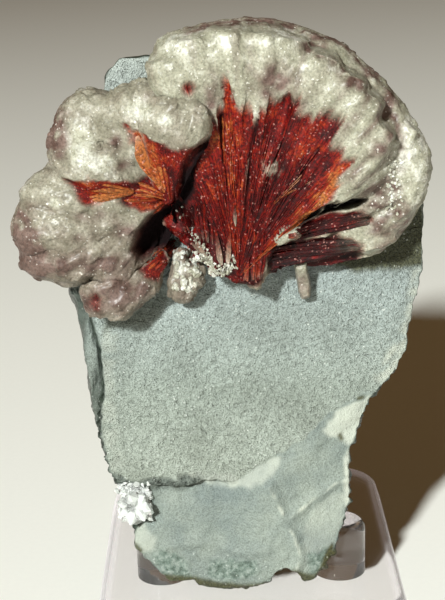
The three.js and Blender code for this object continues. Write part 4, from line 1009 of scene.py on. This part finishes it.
# The small sheaves' red tufts: number, spread, start, end, widths, tones, and the blades' ends.
SHEAF_TUFTS = {"heulandite_lower_sheaf": (30, 1.6, (-12.2, 62.6), (-16.6, 59.4), (0.4, 0.8), (0.3, 0.75),
    (0.4, 0.9, 0.4)),
    "heulandite_foot_sheaf": (7, 0.9, (-9.4, 63.4), (-8.2, 60.6), (0.6, 0.9), (0.1, 0.9), (0.5, 0.8, 0.7))}
for node, name, root, lumps, red_areas in (
        ("heulandite_left_rosette", "heulandite_rosette", np.array([-12.6, 71.0]),
         (((-29.5, 67.5, 6.0), (8.6, 7.0, 6.2), (-1, 0.1)), ((-31, 62.8, 5.0), (6.6, 5.0, 5.4), (-1, -0.3)),
          ((-30, 72, 6.4), (6.4, 4.6, 5.2), (-1, 0.2)), ((-22, 64.2, 5.0), (6, 4.2, 4.8), (-1, -0.4)),
          ((-24.6, 83.2, 9.4), (6.0, 5.4, 5.0), (-0.7, 1)), ((-26.5, 79.6, 9.2), (5.4, 4.0, 4.6), (-1, 0.6)),
          ((-17.6, 86.2, 11.2), (4.4, 3.6, 4.0), (-0.3, 1)),
          ((-10.4, 84.8, 15.2), (4.6, 4.4, 3.8), (-0.1, 1)),
          ((-8.2, 84.0, 15.4), (3.6, 3.2, 3.4), (0.2, 1)), ((-14.6, 86.8, 13.6), (3.6, 3.0, 3.4), (-0.4, 1))),
          ROSETTE_RED),
        ("heulandite_lower_sheaf", "heulandite_lower_sheaf_skin", np.array([-13.2, 61.8]),
         (((-22.4, 55.6, 6.2), (5.2, 3.4, 3.4), (-1, -0.6)),
             ((-18.6, 56.8, 5.4), (4.8, 3.0, 3.0), (-1, -0.8))), (LOWER_RED, RED_SPOT)),
        ("heulandite_foot_sheaf", "heulandite_foot_sheaf_skin", np.array([-10.2, 62.6]),
         (((-10.4, 56.4, 3.0), (3.4, 2.3, 2.6), (0, -1)),),
         ([(-10.6, 62.2), (-7.4, 64.0), (-6.4, 60.4), (-8.4, 59.4)],))):
    heap = CrystalHeap()
    for middle, radii, along in lumps:
        heap.lump(middle, radii, along)
    skin = heap.fused(name, node, SHEAF_VOXEL, SMOOTHING_ROUNDS)
    points, normals = surface(skin)
    local = to_face(points)
    across, up, out = local.T
    facing = smooth_step(normals @ face_out, 0.0, 0.5)
    jitter = 0.7 * rough(local, 2.0, 51) + 0.35 * rough(local, 0.8, 52)
    red = np.clip(areas(local, red_areas, 1.2, jitter), 0, 1)
    red *= np.maximum(facing, (across > -14.5) & (up > 68))
    # Painted shade: the hollow and the gap are painted near black, and sunk.
    cleft = np.clip(patch(local, HOLLOW, 1.8) + patch(local, GAP, 1.8, 0.5 * jitter), 0, 1)
    hollow = cleft * facing
    slant = local @ np.array([[0.55, 0.75, 0], [-0.75, 0.3, 0], [0, 0, 0.8]])
    angle, reach = polar(local, root)
    grown = np.stack([angle % 360 * 0.3, reach * 0.5, out * 0.8], -1)
    soft = (0.3 * rough(slant, 5.0, 53) + 0.5 * tilted_faces(grown, 2.4, 54)
        + 0.22 * tilted_faces(grown, 1.1, 59) + 0.06 * rough(local, 1.2, 55)
        + 0.05 * rough(local, 0.6, 56))
    points += normals * (((1 - red) * soft - 0.4 * red) * MM)[:, None]
    points -= face_out * (4.4 * hollow * MM)[:, None]
    write_points(skin, points)
    blots = spots(local, ROSETTE_STAINS)
    stain = np.clip(0.24 + blots * (0.7 + 0.9 * rough(local, 1.6, 57))
        + 0.2 * smooth_step(rough(slant, 2.4, 58), -0.1, 0.5)
        + 0.3 * smooth_step(70 - up + 2 * rough(local, 3.0, 65), 0, 9), 0, 1)
    # Painted highlights raise the tone where glassy faces catch the lamp.
    tone = 0.4 + 0.3 * rough(local, 3.0, 60) + spots(local, ROSETTE_GLOW)
    stain = np.clip(stain - 0.8 * np.maximum(0, tone - 0.6), 0, 1)
    tone -= 0.1 * red * smooth_step(across, -14.5, -12.5) * (up > 68)
    tone += 0.2 * red * smooth_step(up, 74, 77) * smooth_step(-across, 12.6, 14.6)
    height = front_of(skin)
    spray = CrystalHeap()
    if node == "heulandite_left_rosette":
        for start, end, number, spread, width, shade in (
                ((-13.2, 73.8), (-16.5, 82.2), 3, 0.3, 3.6, 0.8),
                ((-12.9, 73.4), (-15.4, 81.6), 8, 1.2, 0.7, 0.8),
                ((-13.2, 72.4), (-19.6, 74.2), 16, 1.4, 0.55, 0.75),
                ((-14.0, 71.4), (-20.6, 72.0), 16, 1.4, 0.55, 0.65),
                ((-18.0, 73.0), (-27.0, 74.8), 12, 0.8, 0.55, 1.1),
                ((-18.5, 72.8), (-25.4, 71.8), 10, 0.7, 0.55, 1.05),
                ((-11.8, 72.4), (-12.2, 79.4), 10, 0.9, 0.55, 0.6),
                ((-10.8, 72.0), (-10.4, 78.6), 8, 0.7, 0.5, 0.45),
                ((-12.6, 71.2), (-14.8, 69.6), 6, 0.8, 0.5, 0.45)):
            for _ in range(number):
                jog = rng.uniform(-spread, spread, 2)
                spray.blade(lay(height, np.array(start) + jog * 0.35, np.array(end) + jog,
                    rng.uniform(0.0, 0.4), rng.uniform(-0.05, 0.05), 0.4),
                    width * rng.uniform(0.7, 1.2), rng.uniform(0.5, 0.9), rng.uniform(-0.45, 0.45),
                    float(np.clip(shade + rng.uniform(-0.2, 0.2), 0, 1.5)), rng.uniform(0.35, 0.8), 0.95, 0.3)
    else:
        number, spread, start, end, widths, tones, ending = SHEAF_TUFTS[node]
        for _ in range(number):
            jog = rng.uniform(-spread, spread, 2)
            spray.blade(lay(height, np.array(start) + jog * 0.5, np.array(end) + jog, rng.uniform(0.1, 0.5)),
                rng.uniform(*widths), 0.6, rng.uniform(-0.4, 0.4), rng.uniform(*tones), *ending)
    if node == "heulandite_foot_sheaf":
        spray.crystals(height, ((-12.0, 60.6), (-9.6, 61.4), (-8.4, 59.0), (-9.4, 56.4), (-11.8, 57.6)),
            60, 1.0, 0.7)
    skin = dress(skin, root, (1 - red) * (1 - cleft), cleft, stain, spray, tone)
    finish_piece(skin, name, heulandite, node)


# The lone blade
# One short blunt crystal of heulandite that hangs from the druse under the fan, white above and
# brownish at its lower end.

LONE_BLADE_VOXEL = 0.00017
LONE_BLADE_TOP = 62.2
skin = fuse(copy_of_solid("heulandite_lone_blade"), LONE_BLADE_VOXEL, 3)
points, normals = surface(skin)
local = to_face(points)
local[:, 1] = (LONE_BLADE_TOP + (local[:, 1] - local[:, 1].max())
    * (LONE_BLADE_TOP - local[:, 1].min()) / np.ptp(local[:, 1]))
local[:, 2] += 0.9 * np.maximum(0, local[:, 1] - 56)
local[:, 0] -= 0.9
points = from_face(local)
write_points(skin, points + normals
    * ((0.12 * rough(local, 1.2, 61) + 0.06 * rough(local, 0.5, 62)) * MM)[:, None])
everywhere = np.ones(len(local))
dress(skin, np.array([8.6, 62.0]), everywhere, 0 * everywhere,
    np.clip(smooth_step(59.5 - local[:, 1], 0, 3) * 0.6 + 0.3 * rough(local, 0.9, 63), 0, 1), None,
    0.5 * everywhere)
finish_piece(skin, "heulandite_lone_blade_skin", heulandite, "heulandite_lone_blade")


# The quartz
# A nest of small water-clear quartz points in a pocket at the druse's lower left corner, with white
# veils at their roots.

points_of_quartz = CrystalHeap()
for _ in range(70):
    foot = np.array([rng.uniform(-23.2, -17.6), rng.uniform(13.6, 21.0), -1.6])
    lean = np.array([rng.uniform(-0.9, 0.7), rng.uniform(-0.8, 0.8), 1.0])
    lean /= np.linalg.norm(lean)
    size, long = rng.uniform(0.28, 0.7), rng.uniform(1.2, 2.7)
    side = np.cross(lean, (0, 1, 0))
    side /= np.linalg.norm(side)
    front = np.cross(side, lean)
    turn0 = rng.uniform(0, 1)
    hexagon = np.array([side * math.cos(turn0 + k * math.pi / 3)
        + front * math.sin(turn0 + k * math.pi / 3) for k in range(6)])
    points_of_quartz.ring_solid([foot + hexagon * size * 0.9, foot + lean * long * 0.62 + hexagon * size,
        foot + lean * long + hexagon * size * 0.06])
cluster = joined(points_of_quartz.as_piece("quartz_points"), copy_of_solid("quartz_crystals"))
quartz, tree, shader = new_material("clear quartz with white veils", IOR=1.544, Roughness=0.04,
    Transmission_Weight=1.0)
place = add_node(tree, "TexCoord", {}, "Object")
veil = add_node(tree, "TexNoise", {"Scale": 500.0, "Detail": 4.0, "Vector": place})
clear = add_node(tree, "MapRange",
    {"From Min": 0.4, "From Max": 0.56, "To Min": 0.8, "To Max": 0.3, "Value": veil})
tree.links.new(clear, shader.inputs["Transmission Weight"])
white = add_node(tree, "ValToRGB", {"stops": ((0.4, "#f4f6f4"), (0.6, "#e0e4e0")), "Fac": veil})
tree.links.new(white, shader.inputs["Base Color"])
finish_piece(cluster, "quartz_points", quartz, "quartz_crystals")
